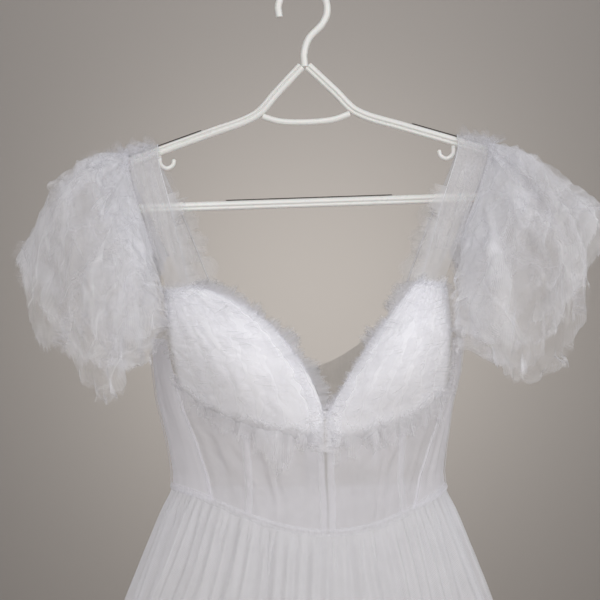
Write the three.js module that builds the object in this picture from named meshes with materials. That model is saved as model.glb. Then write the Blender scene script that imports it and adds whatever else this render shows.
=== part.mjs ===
// Tulle party dress hanging on a plastic clothes hanger. Millimetres, +Z up, the dress faces -Y.
// The origin is the underside of the hook's top, where a rod bears. The hanger hangs a little askew,
// and the dress is slack on it, so its centre front sits to the right of the hanger's middle.
import * as THREE from "three";

const { cos, sin, tan, abs, sqrt, asin, floor, min, max, PI } = Math;
const rad = (degrees) => (degrees * PI) / 180;
const lerp = (a, b, t) => a + (b - a) * t;
const lerp3 = (a, b, t) => a.map((value, k) => lerp(value, b[k], t));
const range = (count) => Array.from({ length: count + 1 }, (_, i) => i / count);

// ---------------------------------------------------------------- driving dimensions
const clothThick = 1.2; // wall of a layer of tulle, as a solid
const cupThick = 1.6;
const seamGap = 0.7; // between two cut pieces that are sewn edge to edge
const layGap = 0.3; // between a piece and what it lies on
const cupSeamGap = 2; // between a cup's lower edge and the panel under it
const panelApart = rad(0.7);

const hanger = {
  tilt: rad(1.9),
  deep: 6.4, // front to back
  high: 9.2, // section height of the arms and the bar
  sides: 10,
  neckZ: -75, // where the lines of the two arms cross
  neckHalf: 3.6, // from there to each arm's upper end, which the hook's stem sits on
  bendX: 52.6, // where the steep neck turns into the sloping shoulder
  bendZ: -127.6,
  shoulderSlope: rad(17.85),
  shoulderEndX: 190,
  barZ: -215,
  hookInner: 21,
  hookThick: 7.2,
  gripFrom: 104, // the dark non-slip strips start this far from the middle
  gripTo: 184,
  gripBar: 83, // half the strip on the bar
  gripWide: 2.4,
  gripHigh: 0.8,
};

// Bodice rings, top to bottom: middle, half width, and depth in front of and behind the hanger's plane.
const bodiceRings = [
  { z: -290, middle: 2, half: 152, front: 84, back: 60 },
  { z: -345, middle: 5, half: 156, front: 88, back: 66 },
  { z: -383, middle: 5, half: 153, front: 87, back: 68 },
  { z: -413, middle: 3, half: 147, front: 84, back: 67 },
  { z: -453, middle: 5, half: 139, front: 80, back: 65 },
  { z: -483, middle: 6, half: 135, front: 78, back: 64 },
  { z: -500, middle: 7, half: 136, front: 78, back: 65 },
  { z: -545, middle: 7, half: 142, front: 82, back: 68 },
];
const seams = { centreFront: rad(7.4), centreBack: rad(178), leftSide: rad(-88), rightSide: rad(92) };
const waist = { sideZ: -497, frontDip: 38, backDip: 8 };
const underarmZ = -350;
const backNeck = { lowZ: -381, strapZ: -306, strapFrom: rad(39), strapTo: rad(53) };

// Each cup's corners in the front view, and how far its long edges bow out.
const cups = {
  left: {
    side: -1, strapInner: [-106, -297], strapOuter: [-136, -303], outerLow: [-122, -396],
    centreLow: [20.4, -449], vPoint: [21.2, -421], neckBow: 25, outerBow: 3, lowBow: 15, princessX: -86,
  },
  right: {
    side: 1, strapInner: [112, -292], strapOuter: [142, -296], outerLow: [143, -402],
    centreLow: [24.2, -453], vPoint: [23.4, -421], neckBow: 4, outerBow: 5, lowBow: 12, princessX: 106,
  },
};
const cupDepth = 30; // how far the cup stands out of the bodice ring
const cupColumns = 8;
const neckShare = 0.86; // share of the inner edge that is neckline; the rest is the centre seam
const cupRows = [0, 0.12, 0.25, 0.38, 0.5, 0.62, 0.74, neckShare, 1];

const frill = { rows: [0.125, 0.375, 0.625, 0.875], waves: 9, stand: 9, lean: 15, ripple: 4.2, steps: 4 };

const strap = { half: 15, stations: 22, archRise: 1.8, archHalf: 5.8 };
const strapAt = { left: -163, right: 164 }; // where each strap crosses its arm, in the hanger's frame
const strapFrill = { wide: 17, waves: 7, ripple: 4.5, steps: 4, from: 0.01, to: 0.15 };

// A sleeve flounce from the strap's front end, over the shoulder, to its back end.
// Out, forward and down are measured from the shoulder; puff is where the cloth swells on its way to the hem.
const flounceRows = {
  left: [
    { hemOut: -14, hemForward: 66, hemDown: 202, puffOut: -20, puffForward: 84, puffDown: 150 },
    { hemOut: 4, hemForward: 92, hemDown: 230, puffOut: 20, puffForward: 108, puffDown: 120 },
    { hemOut: 36, hemForward: 94, hemDown: 240, puffOut: 66, puffForward: 108, puffDown: 80 },
    { hemOut: 90, hemForward: 62, hemDown: 204, puffOut: 94, puffForward: 72, puffDown: 8 },
    { hemOut: 132, hemForward: 0, hemDown: 118, puffOut: 83, puffForward: 0, puffDown: -2 },
    { hemOut: 96, hemForward: -60, hemDown: 196, puffOut: 94, puffForward: -70, puffDown: 8 },
    { hemOut: 44, hemForward: -90, hemDown: 226, puffOut: 66, puffForward: -102, puffDown: 78 },
    { hemOut: 12, hemForward: -86, hemDown: 214, puffOut: 20, puffForward: -98, puffDown: 112 },
    { hemOut: -4, hemForward: -60, hemDown: 190, puffOut: -10, puffForward: -76, puffDown: 140 },
  ],
  right: [
    { hemOut: -6, hemForward: 66, hemDown: 216, puffOut: -14, puffForward: 84, puffDown: 150 },
    { hemOut: 24, hemForward: 92, hemDown: 234, puffOut: 30, puffForward: 108, puffDown: 122 },
    { hemOut: 70, hemForward: 94, hemDown: 220, puffOut: 78, puffForward: 108, puffDown: 78 },
    { hemOut: 104, hemForward: 62, hemDown: 172, puffOut: 92, puffForward: 72, puffDown: 22 },
    { hemOut: 145, hemForward: 0, hemDown: 75, puffOut: 70, puffForward: 0, puffDown: 14 },
    { hemOut: 104, hemForward: -60, hemDown: 168, puffOut: 92, puffForward: -70, puffDown: 22 },
    { hemOut: 62, hemForward: -90, hemDown: 212, puffOut: 74, puffForward: -102, puffDown: 78 },
    { hemOut: 20, hemForward: -86, hemDown: 212, puffOut: 26, puffForward: -98, puffDown: 114 },
    { hemOut: -4, hemForward: -60, hemDown: 192, puffOut: -10, puffForward: -76, puffDown: 140 },
  ],
};
const flounce = { waves: 11, ripple: 11, steps: 4, from: 0.08, to: 0.92 };
const flounceLayers = [
  { name: "lower", from: 0, reach: 1, rise: 0, rows: 6 },
  { name: "upper", from: 0.06, reach: 0.56, rise: 12, rows: 4 },
];

const skirt = {
  length: 600, hemHalf: 296, hemFront: 212, hemBack: 200, flare: 1.6,
  foldsEach: 12, ripple: 17, gather: 1.1, steps: 5, rows: 7,
};
const boning = { wide: 8, thick: 1.4, rows: 5 };
const boningAngles = { front_centre: 7.4, front_left: -25, front_right: 41 };
const backBoningAngles = { back_left: -140, back_right: 136 };
const placket = { wide: 16, thick: 1.4 };
const hookEye = { wire: 1.3, wide: 6, tall: 9, steps: 13 };

// ---------------------------------------------------------------- looks of the solids
const finish = (color, roughness) => new THREE.MeshStandardMaterial({ color, roughness, metalness: 0 });
const finishes = {
  tulle: finish(0xe4e3e8, 0.85),
  cupCloth: finish(0xececef, 0.85),
  frillTulle: finish(0xf4f4f7, 0.9),
  tape: finish(0xe9e8ec, 0.6),
  plastic: finish(0xf0f0ec, 0.35),
  rubber: finish(0x3a3836, 0.8),
  wire: new THREE.MeshStandardMaterial({ color: 0xb9b9bc, roughness: 0.3, metalness: 1 }),
};

const dress = new THREE.Group();
function addPiece(name, geometry, material, parent = dress) {
  const mesh = new THREE.Mesh(geometry, material);
  mesh.name = name;
  parent.add(mesh);
}

// ---------------------------------------------------------------- cloth walls
// A grid is rows of points. The wall is the grid's surface, thickened evenly on both sides of it.
function gridNormals(grid) {
  const last = [grid.length - 1, grid[0].length - 1];
  const at = (i, j) => new THREE.Vector3(...grid[min(max(i, 0), last[0])][min(max(j, 0), last[1])]);
  return grid.map((row, i) =>
    row.map((_, j) => {
      const along = at(i, j + 1).sub(at(i, j - 1));
      const across = at(i + 1, j).sub(at(i - 1, j));
      return across.cross(along).normalize();
    }),
  );
}

function wall(grid, thick) {
  const rows = grid.length;
  const columns = grid[0].length;
  const normals = gridNormals(grid);
  const points = [];
  for (const face of [thick / 2, -thick / 2]) {
    grid.forEach((row, i) =>
      row.forEach((point, j) => points.push(...point.map((v, k) => v + normals[i][j].getComponent(k) * face))),
    );
  }
  const index = (face, i, j) => face * rows * columns + i * columns + j;
  const triangles = [];
  const quad = (a, b, c, d) => triangles.push(a, b, c, a, c, d);
  for (let i = 0; i < rows - 1; i++) {
    for (let j = 0; j < columns - 1; j++) {
      quad(index(0, i, j), index(0, i + 1, j), index(0, i + 1, j + 1), index(0, i, j + 1));
      quad(index(1, i, j), index(1, i, j + 1), index(1, i + 1, j + 1), index(1, i + 1, j));
    }
  }
  const rim = (a, b) => quad(index(0, ...a), index(0, ...b), index(1, ...b), index(1, ...a));
  for (let j = 0; j < columns - 1; j++) {
    rim([0, j], [0, j + 1]);
    rim([rows - 1, j + 1], [rows - 1, j]);
  }
  for (let i = 0; i < rows - 1; i++) {
    rim([i + 1, 0], [i, 0]);
    rim([i, columns - 1], [i + 1, columns - 1]);
  }
  const geometry = new THREE.BufferGeometry();
  geometry.setAttribute("position", new THREE.Float32BufferAttribute(points, 3));
  geometry.setIndex(triangles);
  geometry.computeVertexNormals();
  return geometry;
}

// ---------------------------------------------------------------- bodice rings
function ringAt(z) {
  const last = bodiceRings.length - 1;
  let k = bodiceRings.findIndex((ring) => ring.z <= z) - 1;
  if (k === -2) k = last - 1;
  k = min(max(k, 0), last - 1);
  const [a, b] = [bodiceRings[k], bodiceRings[k + 1]];
  const share = min(max((z - a.z) / (b.z - a.z), 0), 1);
  return Object.fromEntries(Object.keys(a).map((key) => [key, lerp(a[key], b[key], share)]));
}

// Angle 0 is the front of the ring, a quarter turn is its right side. Out moves the point off the ring.
function ringPoint(angle, z, out = 0) {
  const ring = ringAt(z);
  const depth = cos(angle) > 0 ? ring.front : ring.back;
  return [ring.middle + (ring.half + out) * sin(angle), -(depth + out) * cos(angle), z];
}

function frontAngle(x, z) {
  const ring = ringAt(z);
  return asin(min(max((x - ring.middle) / ring.half, -1), 1));
}

const waistZ = (angle) => {
  const turn = angle - seams.centreFront;
  return waist.sideZ - (cos(turn) > 0 ? waist.frontDip * cos(turn) ** 3 : waist.backDip * cos(turn) ** 2);
};

// A panel between a top and a bottom line of [angle, z] pairs, one pair for each column.
function panelGrid(top, bottom, rows, out = 0) {
  return range(rows).map((t) =>
    top.map((upper, j) => ringPoint(lerp(upper[0], bottom[j][0], t), lerp(upper[1], bottom[j][1], t), out)),
  );
}

// ---------------------------------------------------------------- cups and their frills
function bowed(start, end, bow, t) {
  const [dx, dz] = [end[0] - start[0], end[1] - start[1]];
  const length = sqrt(dx * dx + dz * dz);
  const rise = bow * 4 * t * (1 - t);
  return [lerp(start[0], end[0], t) + (rise * -dz) / length, lerp(start[1], end[1], t) + (rise * dx) / length];
}

function cupEdges(cup) {
  return {
    outer: (v) => bowed(cup.strapOuter, cup.outerLow, cup.side * cup.outerBow, v),
    neck: (v) =>
      v < neckShare
        ? bowed(cup.strapInner, cup.vPoint, -cup.side * cup.neckBow, v / neckShare)
        : lerp3(cup.vPoint, cup.centreLow, (v - neckShare) / (1 - neckShare)),
    top: (u) => lerp3(cup.strapOuter, cup.strapInner, u),
    low: (u) => bowed(cup.outerLow, cup.centreLow, cup.side * cup.lowBow, u),
  };
}

// A point of a cup: u runs from its outer edge to the neckline, v from the strap down.
function cupPoint(cup, u, v) {
  const edge = cupEdges(cup);
  const [outer, neck, top, low] = [edge.outer(v), edge.neck(v), edge.top(u), edge.low(u)];
  const corners = [cup.strapOuter, cup.strapInner, cup.outerLow, cup.centreLow];
  const [x, z] = [0, 1].map((k) => {
    const mixed = lerp(lerp(corners[0][k], corners[1][k], u), lerp(corners[2][k], corners[3][k], u), v);
    return lerp(outer[k], neck[k], u) + lerp(top[k], low[k], v) - mixed;
  });
  const swell = cupDepth * sin(PI * u) ** 0.75 * sin(PI * v ** 1.15) ** 0.9;
  const [, y] = ringPoint(frontAngle(x, z), z);
  return [x, y - swell, z];
}

function cupGrid(cup) {
  const columns = range(cupColumns);
  const across = cup.side < 0 ? columns : [...columns].reverse();
  return cupRows.map((v) => across.map((u) => cupPoint(cup, u, v)));
}

// A gathered strip that stands on a line of the cup's own points and leans towards the neckline.
function cupFrillGrid(cup, u) {
  const seat = cupRows.map((v) => {
    const point = new THREE.Vector3(...cupPoint(cup, u, v));
    const towardsNeck = new THREE.Vector3(...cupPoint(cup, u + 0.02, v)).sub(point).normalize();
    const down = new THREE.Vector3(...cupPoint(cup, u, min(v + 0.02, 1)));
    down.sub(new THREE.Vector3(...cupPoint(cup, u, max(v - 0.02, 0)))).normalize();
    const out = towardsNeck.clone().cross(down).multiplyScalar(cup.side).normalize();
    return { point, towardsNeck, out };
  });
  const count = frill.waves * frill.steps;
  const rows = [0, 1].map((height) =>
    range(count).map((share) => {
      const at = min(share * (seat.length - 1), seat.length - 1 - 1e-9);
      const [k, between] = [floor(at), at - floor(at)];
      const mix = (key) => seat[k][key].clone().lerp(seat[k + 1][key], between);
      const wave = frill.ripple * sin(2 * PI * (frill.waves * share + u));
      const lift = cupThick / 2 + layGap + clothThick / 2;
      const placed = mix("point").addScaledVector(mix("out"), lift + height * (frill.stand + wave * 0.5));
      placed.addScaledVector(mix("towardsNeck"), height * (frill.lean - wave));
      return placed.toArray();
    }),
  );
  return cup.side < 0 ? rows : rows.map((row) => row.reverse());
}

// ---------------------------------------------------------------- bodice panels
function buildBodice() {
  for (const [name, cup] of Object.entries(cups)) {
    const edge = cupEdges(cup);
    const order = cup.side < 0 ? (list) => list : (list) => list.reverse();
    const lowSeam = (u) => {
      const [x, z] = edge.low(u);
      return [frontAngle(x, z), z - cupSeamGap];
    };
    const centre = seams.centreFront + cup.side * rad(0.2);
    const princess = frontAngle(cup.princessX, waist.sideZ);
    const top = range(cupColumns).map((u) => (u === 1 ? [centre, lowSeam(1)[1]] : lowSeam(u)));
    const bottom = range(cupColumns).map((u) => {
      const angle = lerp(princess, centre, u);
      return [angle, waistZ(angle)];
    });
    addPiece(`bodice_front_${name}`, wall(panelGrid(order(top), order(bottom), 5), clothThick), finishes.tulle);
    addPiece(`cup_${name}`, wall(cupGrid(cup), cupThick), finishes.cupCloth);
    frill.rows.forEach((u, k) =>
      addPiece(`cup_frill_${name}_${k + 1}`, wall(cupFrillGrid(cup, u), clothThick), finishes.frillTulle),
    );
    buildSidePanel(name, cup, edge, princess);
    buildBackPanel(name, cup);
  }
}

function buildSidePanel(name, cup, edge, princess) {
  const apart = cup.side * panelApart;
  const side = cup.side < 0 ? seams.leftSide : seams.rightSide;
  const cupShares = [0.5, 0.62, 0.74, 0.87, 1];
  const alongCup = cupShares.map((v) => {
    const [x, z] = edge.outer(v);
    return [frontAngle(x, z) + apart, z];
  });
  const [lowAngle, lowZ] = alongCup.at(-1);
  const alongPanel = range(5).slice(1).map((t) => {
    const angle = lerp(lowAngle, princess + apart, t);
    return [angle, lerp(lowZ, waistZ(princess + apart), t)];
  });
  const front = [...alongCup, ...alongPanel];
  const grid = front.map(([angle, z], i) =>
    range(4).map((s) => {
      const share = i / (front.length - 1);
      const sideAngle = side - cup.side * rad(0.2);
      const sideZ = lerp(underarmZ, waistZ(sideAngle), share);
      const around = lerp(angle, sideAngle, s);
      const height = i === front.length - 1 ? waistZ(around) : lerp(z, sideZ, s);
      return ringPoint(around, height);
    }),
  );
  const faced = cup.side < 0 ? grid.map((row) => row.reverse()) : grid;
  addPiece(`bodice_side_${name}`, wall(faced, clothThick), finishes.tulle);
}

const backReach = rad(88); // from the centre back to the side, about a quarter turn

// Height of the back's top edge at an angle from the centre back.
function backTopZ(turn) {
  const { lowZ, strapZ, strapFrom, strapTo } = backNeck;
  if (turn < strapFrom) return lerp(lowZ, strapZ, (turn / strapFrom) ** 1.5);
  if (turn < strapTo) return strapZ;
  return lerp(strapZ, underarmZ, sin(((turn - strapTo) / (backReach - strapTo)) * (PI / 2)));
}

function buildBackPanel(name, cup) {
  const side = (cup.side < 0 ? seams.leftSide : seams.rightSide) + cup.side * rad(0.2);
  const centreBack = cup.side < 0 ? seams.centreBack - 2 * PI : seams.centreBack;
  const centre = centreBack - cup.side * rad(0.2);
  const reach = abs(centre - side);
  const turns = [0, 0.12, 0.24, 0.34].map((share) => share * reach);
  turns.push(backNeck.strapFrom, backNeck.strapTo);
  turns.push(...[0.72, 0.86, 1].map((share) => share * reach));
  const top = turns.map((turn) => [centre - cup.side * turn, backTopZ(min(turn, backReach))]);
  const bottom = top.map(([angle]) => [angle, waistZ(angle)]);
  const order = cup.side < 0 ? (list) => list : (list) => list.reverse();
  addPiece(`bodice_back_${name}`, wall(panelGrid(order(top), order(bottom), 6), clothThick), finishes.tulle);
}

// Boning channels and the back placket are strips that follow the panels, moved out.
function stripGrid(angle, wide, topZ, bottomZ, out) {
  const half = wide / 2 / ringAt(waist.sideZ).half;
  return range(boning.rows).map((t) =>
    range(1).map((s) => ringPoint(angle + lerp(-half, half, s), lerp(topZ, bottomZ, t), out)),
  );
}

function buildStrips() {
  const out = clothThick / 2 + layGap + boning.thick / 2;
  const trim = 3; // strips stop short of the seams
  for (const [name, degrees] of Object.entries(boningAngles)) {
    const angle = rad(degrees);
    const cup = angle < seams.centreFront ? cups.left : cups.right;
    const lowEdge = range(20).map((u) => cupEdges(cup).low(u));
    const above = lowEdge.filter(([x, z]) => abs(frontAngle(x, z) - angle) < rad(5));
    const topZ = min(...above.map(([, z]) => z)) - trim;
    const strip = stripGrid(angle, boning.wide, topZ, waistZ(angle) + trim, out);
    addPiece(`boning_${name}`, wall(strip, boning.thick), finishes.tape);
  }
  for (const [name, degrees] of Object.entries(backBoningAngles)) {
    const angle = rad(degrees);
    const turn = abs(abs(angle) - abs(seams.centreBack));
    const strip = stripGrid(angle, boning.wide, backTopZ(turn) - trim, waistZ(angle) + trim, out);
    addPiece(`boning_${name}`, wall(strip, boning.thick), finishes.tape);
  }
  const placketOut = clothThick / 2 + layGap + placket.thick / 2;
  const down = waistZ(seams.centreBack) + trim;
  const grid = stripGrid(seams.centreBack, placket.wide, backNeck.lowZ - 1, down, placketOut);
  addPiece("back_placket", wall(grid, placket.thick), finishes.tape);
}

// The wire hook and eye that close the top of the back, inside the placket.
function buildHookEye() {
  const inward = -clothThick / 2 - 2 * layGap - hookEye.wire / 2;
  const [x, y, z] = ringPoint(seams.centreBack, backNeck.lowZ - hookEye.tall, inward);
  const almostRound = 2 * PI * (1 - 1 / hookEye.steps); // the wire's two ends stay apart
  const loop = new THREE.EllipseCurve(0, 0, hookEye.wide / 2, hookEye.tall / 2, 0, almostRound);
  const points = loop.getPoints(hookEye.steps).map((p) => new THREE.Vector3(x + p.x, y, z + p.y));
  const round = new THREE.EllipseCurve(0, 0, hookEye.wire / 2, hookEye.wire / 2).getPoints(6).slice(0, -1);
  const extrudePath = new THREE.CatmullRomCurve3(points, false);
  const options = { steps: hookEye.steps, extrudePath, bevelEnabled: false };
  const geometry = new THREE.ExtrudeGeometry(new THREE.Shape(round), options);
  addPiece("hook_and_eye", geometry, finishes.wire);
}

// ---------------------------------------------------------------- hanger
const hangerGroup = new THREE.Group();
hangerGroup.rotation.y = -hanger.tilt;
dress.add(hangerGroup);

const shoulderZ = (x) => hanger.bendZ - (abs(x) - hanger.bendX) * tan(hanger.shoulderSlope);
const tilted = (x, y, z) => new THREE.Vector3(x, y, z).applyEuler(new THREE.Euler(0, -hanger.tilt, 0));

function bar(name, points, steps, deep, high, sides) {
  const section = new THREE.EllipseCurve(0, 0, deep / 2, high / 2).getPoints(sides).slice(0, -1);
  const route = points.map(([x, z]) => new THREE.Vector3(x, 0, z));
  const extrudePath = new THREE.CatmullRomCurve3(route, false, "centripetal");
  const options = { steps, extrudePath, bevelEnabled: false };
  addPiece(name, new THREE.ExtrudeGeometry(new THREE.Shape(section), options), finishes.plastic, hangerGroup);
}

function buildHanger() {
  const { deep, high, sides, barZ, shoulderEndX: endX } = hanger;
  const endRadius = (shoulderZ(endX) - barZ) / 2;
  const endMiddle = shoulderZ(endX) - endRadius;
  for (const [name, side] of [["left", -1], ["right", 1]]) {
    const neck = [hanger.neckHalf, 30].map((x) => [side * x, hanger.neckZ - x]);
    const bend = [[side * (hanger.bendX - 6), hanger.bendZ + 5]];
    const along = [hanger.bendX + 8, ...[0.3, 0.65, 0.97].map((t) => lerp(hanger.bendX, endX, t))];
    const shoulder = along.map((x) => [side * x, shoulderZ(x)]);
    const turn = [50, 15, -20, -55].map(rad).map((angle) => [
      side * (endX + endRadius * cos(angle)),
      endMiddle + endRadius * sin(angle),
    ]);
    const foot = [[side * (endX + 5), barZ], [side * (endX - 2), barZ]];
    bar(`hanger_arm_${name}`, [...neck, ...bend, ...shoulder, ...turn, ...foot], 28, deep, high, sides);
    buildStrapHook(name, side);
    buildGrip(`hanger_grip_${name}`, [hanger.gripFrom, hanger.gripTo].map((x) => [side * x, shoulderZ(x)]));
  }
  const barHalf = endX - 2 - layGap; // a level path turns the section, so its depth and height swap
  bar("hanger_bar", [[-barHalf, barZ], [0, barZ], [barHalf, barZ]], 1, high, deep, sides);
  buildGrip("hanger_grip_bar", [[-hanger.gripBar, barZ], [hanger.gripBar, barZ]]);
  const braceEnd = [hanger.bendX - 9.7, hanger.bendZ + 0.2];
  const brace = [[-braceEnd[0], braceEnd[1]], [-27, -132.4], [0, -134.2], [27, -132.4], braceEnd];
  bar("hanger_brace", brace, 10, deep - 1.6, 6, 8);
  buildHook();
}

// The hook rises from the neck, swings out to the right and comes back over the origin.
function buildHook() {
  const radius = hanger.hookInner + hanger.hookThick / 2;
  const arc = [-38, -10, 20, 50, 80, 110, 140, 170, 196];
  const bend = arc.map((d) => [radius * cos(rad(d)), -hanger.hookInner + radius * sin(rad(d))]);
  const seat = hanger.neckZ - hanger.neckHalf + 1.6 * layGap;
  const stem = [[0, seat], [0, hanger.neckZ + 10], [5, hanger.neckZ + 24]];
  bar("hanger_hook", [...stem, ...bend], 30, hanger.hookThick, hanger.hookThick, hanger.sides);
}

// A small upturned hook under each arm, open towards the neck.
function buildStrapHook(name, side) {
  const root = side < 0 ? 148 : 146;
  const top = shoulderZ(root) - hanger.high / 2 - 0.9;
  const thick = 4.2;
  const bend = [[0, 0], [1, 8], [7, 12], [13, 9], [14.5, 4]]; // inward from the root, and down from it
  const path = bend.map(([inward, down]) => [side * (root - inward), top - down]);
  bar(`hanger_strap_hook_${name}`, path, 10, thick, thick, 8);
}

function buildGrip(name, [start, end]) {
  const length = sqrt((end[0] - start[0]) ** 2 + (end[1] - start[1]) ** 2);
  const slope = Math.atan2(end[1] - start[1], end[0] - start[0]);
  const box = new THREE.BoxGeometry(length, hanger.gripWide, hanger.gripHigh);
  const up = start[0] > end[0] ? -1 : 1;
  const lift = hanger.high / 2 + layGap + hanger.gripHigh / 2;
  box.translate(0, 0, lift * up);
  box.rotateY(-slope);
  box.translate((start[0] + end[0]) / 2, 0, (start[1] + end[1]) / 2);
  addPiece(name, box, finishes.rubber, hangerGroup);
}

// ---------------------------------------------------------------- straps, their frills and the sleeves
// Stations of a strap from its front end on the cup, over the hanger's arm, to its back end.
function strapStations(name) {
  const cup = cups[name];
  const armX = strapAt[name];
  const rise = hanger.high / 2 + layGap + hanger.gripHigh + strap.archRise;
  const saddle = (y, drop) => tilted(armX, y, shoulderZ(armX) + rise - drop);
  const ends = [cupPoint(cup, 0, 0), cupPoint(cup, 1, 0)].map((p) => new THREE.Vector3(...p));
  const front = ends[0].clone().lerp(ends[1], 0.5).add(new THREE.Vector3(0, 0, seamGap));
  const middleBack = (backNeck.strapFrom + backNeck.strapTo) / 2;
  const backAngle = cup.side < 0 ? seams.centreBack - 2 * PI + middleBack : seams.centreBack - middleBack;
  const back = new THREE.Vector3(...ringPoint(backAngle, backNeck.strapZ + seamGap));
  const half = strap.archHalf;
  const path = new THREE.CatmullRomCurve3(
    [
      front,
      front.clone().lerp(saddle(-half, 14), 0.5).add(new THREE.Vector3(0, -3, 0)),
      saddle(-half, 14), saddle(-half * 0.72, 3), saddle(0, 0), saddle(half * 0.72, 3), saddle(half, 14),
      back.clone().lerp(saddle(half, 14), 0.5).add(new THREE.Vector3(0, 3, 0)),
      back,
    ],
    false, "centripetal",
  );
  const alongArm = tilted(cup.side, 0, -tan(hanger.shoulderSlope)).normalize();
  const frontWide = ends[0].clone().sub(ends[1]).normalize();
  const backTurn = rad(1);
  const backWide = new THREE.Vector3(...ringPoint(backAngle + cup.side * backTurn, backNeck.strapZ));
  backWide.sub(new THREE.Vector3(...ringPoint(backAngle - cup.side * backTurn, backNeck.strapZ))).normalize();
  backWide.multiplyScalar(Math.sign(backWide.x) * cup.side);
  return range(strap.stations).map((t) => {
    const toArm = min(1, min(t, 1 - t) / 0.22);
    const across = (t < 0.5 ? frontWide : backWide).clone().lerp(alongArm, toArm).normalize();
    return { centre: path.getPoint(t), across };
  });
}

function strapEdge(stations, offset) {
  return (t) => {
    const at = min(t * (stations.length - 1), stations.length - 1 - 1e-9);
    const [k, between] = [floor(at), at - floor(at)];
    const place = (s) => s.centre.clone().addScaledVector(s.across, offset);
    return place(stations[k]).lerp(place(stations[k + 1]), between);
  };
}

function buildStrap(name, stations) {
  const side = cups[name].side;
  const grid = stations.map((s) =>
    [-strap.half, 0, strap.half].map((w) => s.centre.clone().addScaledVector(s.across, w * side).toArray()),
  );
  addPiece(`strap_${name}`, wall(grid, clothThick), finishes.tulle);
}

// The gathered edging on the neck side of a strap, in front of the hanger and behind it.
function buildStrapFrill(name, stations, end) {
  const root = strapEdge(stations, -strap.half - seamGap);
  const inner = strapEdge(stations, -strap.half - seamGap - strapFrill.wide);
  const count = strapFrill.waves * strapFrill.steps;
  const grid = [1, 0].map((reach) =>
    range(count).map((s) => {
      const along = lerp(strapFrill.from, strapFrill.to, s);
      const share = end === "front" ? along : 1 - along;
      const wave = reach * strapFrill.ripple * sin(2 * PI * strapFrill.waves * s);
      const outward = new THREE.Vector3(0, end === "front" ? -1 : 1, 0);
      return root(share).lerp(inner(share), reach).addScaledVector(outward, wave).toArray();
    }),
  );
  const turned = (cups[name].side < 0) === (end === "front");
  const faced = turned ? grid : grid.map((row) => row.reverse());
  addPiece(`strap_frill_${name}_${end}`, wall(faced, clothThick), finishes.frillTulle);
}

function flounceCurve(shoulder, name, keys) {
  const side = cups[name].side;
  const points = flounceRows[name].map((row) => {
    const [out, forward, down] = keys.map((key) => row[key]);
    return new THREE.Vector3(shoulder.x + side * out, -forward, shoulder.z - down);
  });
  return new THREE.CatmullRomCurve3(points, false, "centripetal");
}

// A sleeve flounce: its cloth leaves the strap, swells and falls to the hem, and ripples more as it falls.
function buildSleeve(name, stations) {
  const side = cups[name].side;
  const shoulder = stations[strap.stations / 2].centre;
  const hem = flounceCurve(shoulder, name, ["hemOut", "hemForward", "hemDown"]);
  const puff = flounceCurve(shoulder, name, ["puffOut", "puffForward", "puffDown"]);
  const root = strapEdge(stations, strap.half + 1.4);
  const smooth = (u, v) => {
    const from = root(lerp(flounce.from, flounce.to, u)).multiplyScalar((1 - v) ** 2);
    return from.addScaledVector(puff.getPoint(u), 2 * v * (1 - v)).addScaledVector(hem.getPoint(u), v * v);
  };
  const step = 0.02;
  const outward = (u, v) => {
    const along = smooth(min(u + step, 1), v).sub(smooth(max(u - step, 0), v));
    const down = smooth(u, min(v + step, 1)).sub(smooth(u, max(v - step, 0)));
    return down.cross(along).multiplyScalar(side).normalize();
  };
  const columns = range(flounce.waves * flounce.steps);
  for (const layer of flounceLayers) {
    const grid = range(layer.rows).map((t) =>
      columns.map((u) => {
        const v = lerp(layer.from, layer.reach, t);
        const wave = sin(2 * PI * flounce.waves * u + 0.9 * sin(2 * PI * 3 * u));
        const rise = layer.rise ? clothThick + layGap + layer.rise * v : 0;
        return smooth(u, v).addScaledVector(outward(u, v), rise + flounce.ripple * v ** 1.2 * wave).toArray();
      }),
    );
    const faced = side < 0 ? grid : grid.map((row) => row.reverse());
    addPiece(`sleeve_${name}_${layer.name}`, wall(faced, clothThick), finishes.tulle);
  }
}

function buildShoulders() {
  for (const name of Object.keys(cups)) {
    const stations = strapStations(name);
    buildStrap(name, stations);
    buildStrapFrill(name, stations, "front");
    buildStrapFrill(name, stations, "back");
    buildSleeve(name, stations);
  }
}

// ---------------------------------------------------------------- skirt
// A point of the skirt: t runs from the gathered waist to the hem.
function skirtPoint(angle, t, fold) {
  const topZ = waistZ(angle) - seamGap;
  const top = ringAt(topZ);
  const spread = 1 - (1 - t) ** skirt.flare;
  const half = lerp(top.half, skirt.hemHalf, spread);
  const [topDepth, hemDepth] = cos(angle) > 0 ? [top.front, skirt.hemFront] : [top.back, skirt.hemBack];
  const depth = lerp(topDepth, hemDepth, spread);
  const ripple = lerp(skirt.gather, skirt.ripple, t ** 0.8) * fold;
  return [
    lerp(top.middle, 4, t) + (half + ripple) * sin(angle),
    -(depth + ripple) * cos(angle),
    lerp(topZ, waist.sideZ - skirt.length, t),
  ];
}

function buildSkirt() {
  const { leftSide, rightSide } = seams;
  const halves = [["skirt_front", leftSide, rightSide], ["skirt_back", rightSide, leftSide + 2 * PI]];
  const apart = rad(0.25);
  for (const [name, from, to] of halves) {
    const count = skirt.foldsEach * skirt.steps;
    const grid = range(skirt.rows).map((t) =>
      range(count).map((s) => {
        const angle = lerp(from + apart, to - apart, s);
        const fold = sin(2 * PI * skirt.foldsEach * s) * sin(PI * min(1, 12 * s, 12 * (1 - s)) / 2);
        return skirtPoint(angle, t, fold);
      }),
    );
    addPiece(name, wall(grid, clothThick), finishes.tulle);
  }
}

buildHanger();
buildBodice();
buildStrips();
buildHookEye();
buildShoulders();
buildSkirt();

export default dress;
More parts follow.
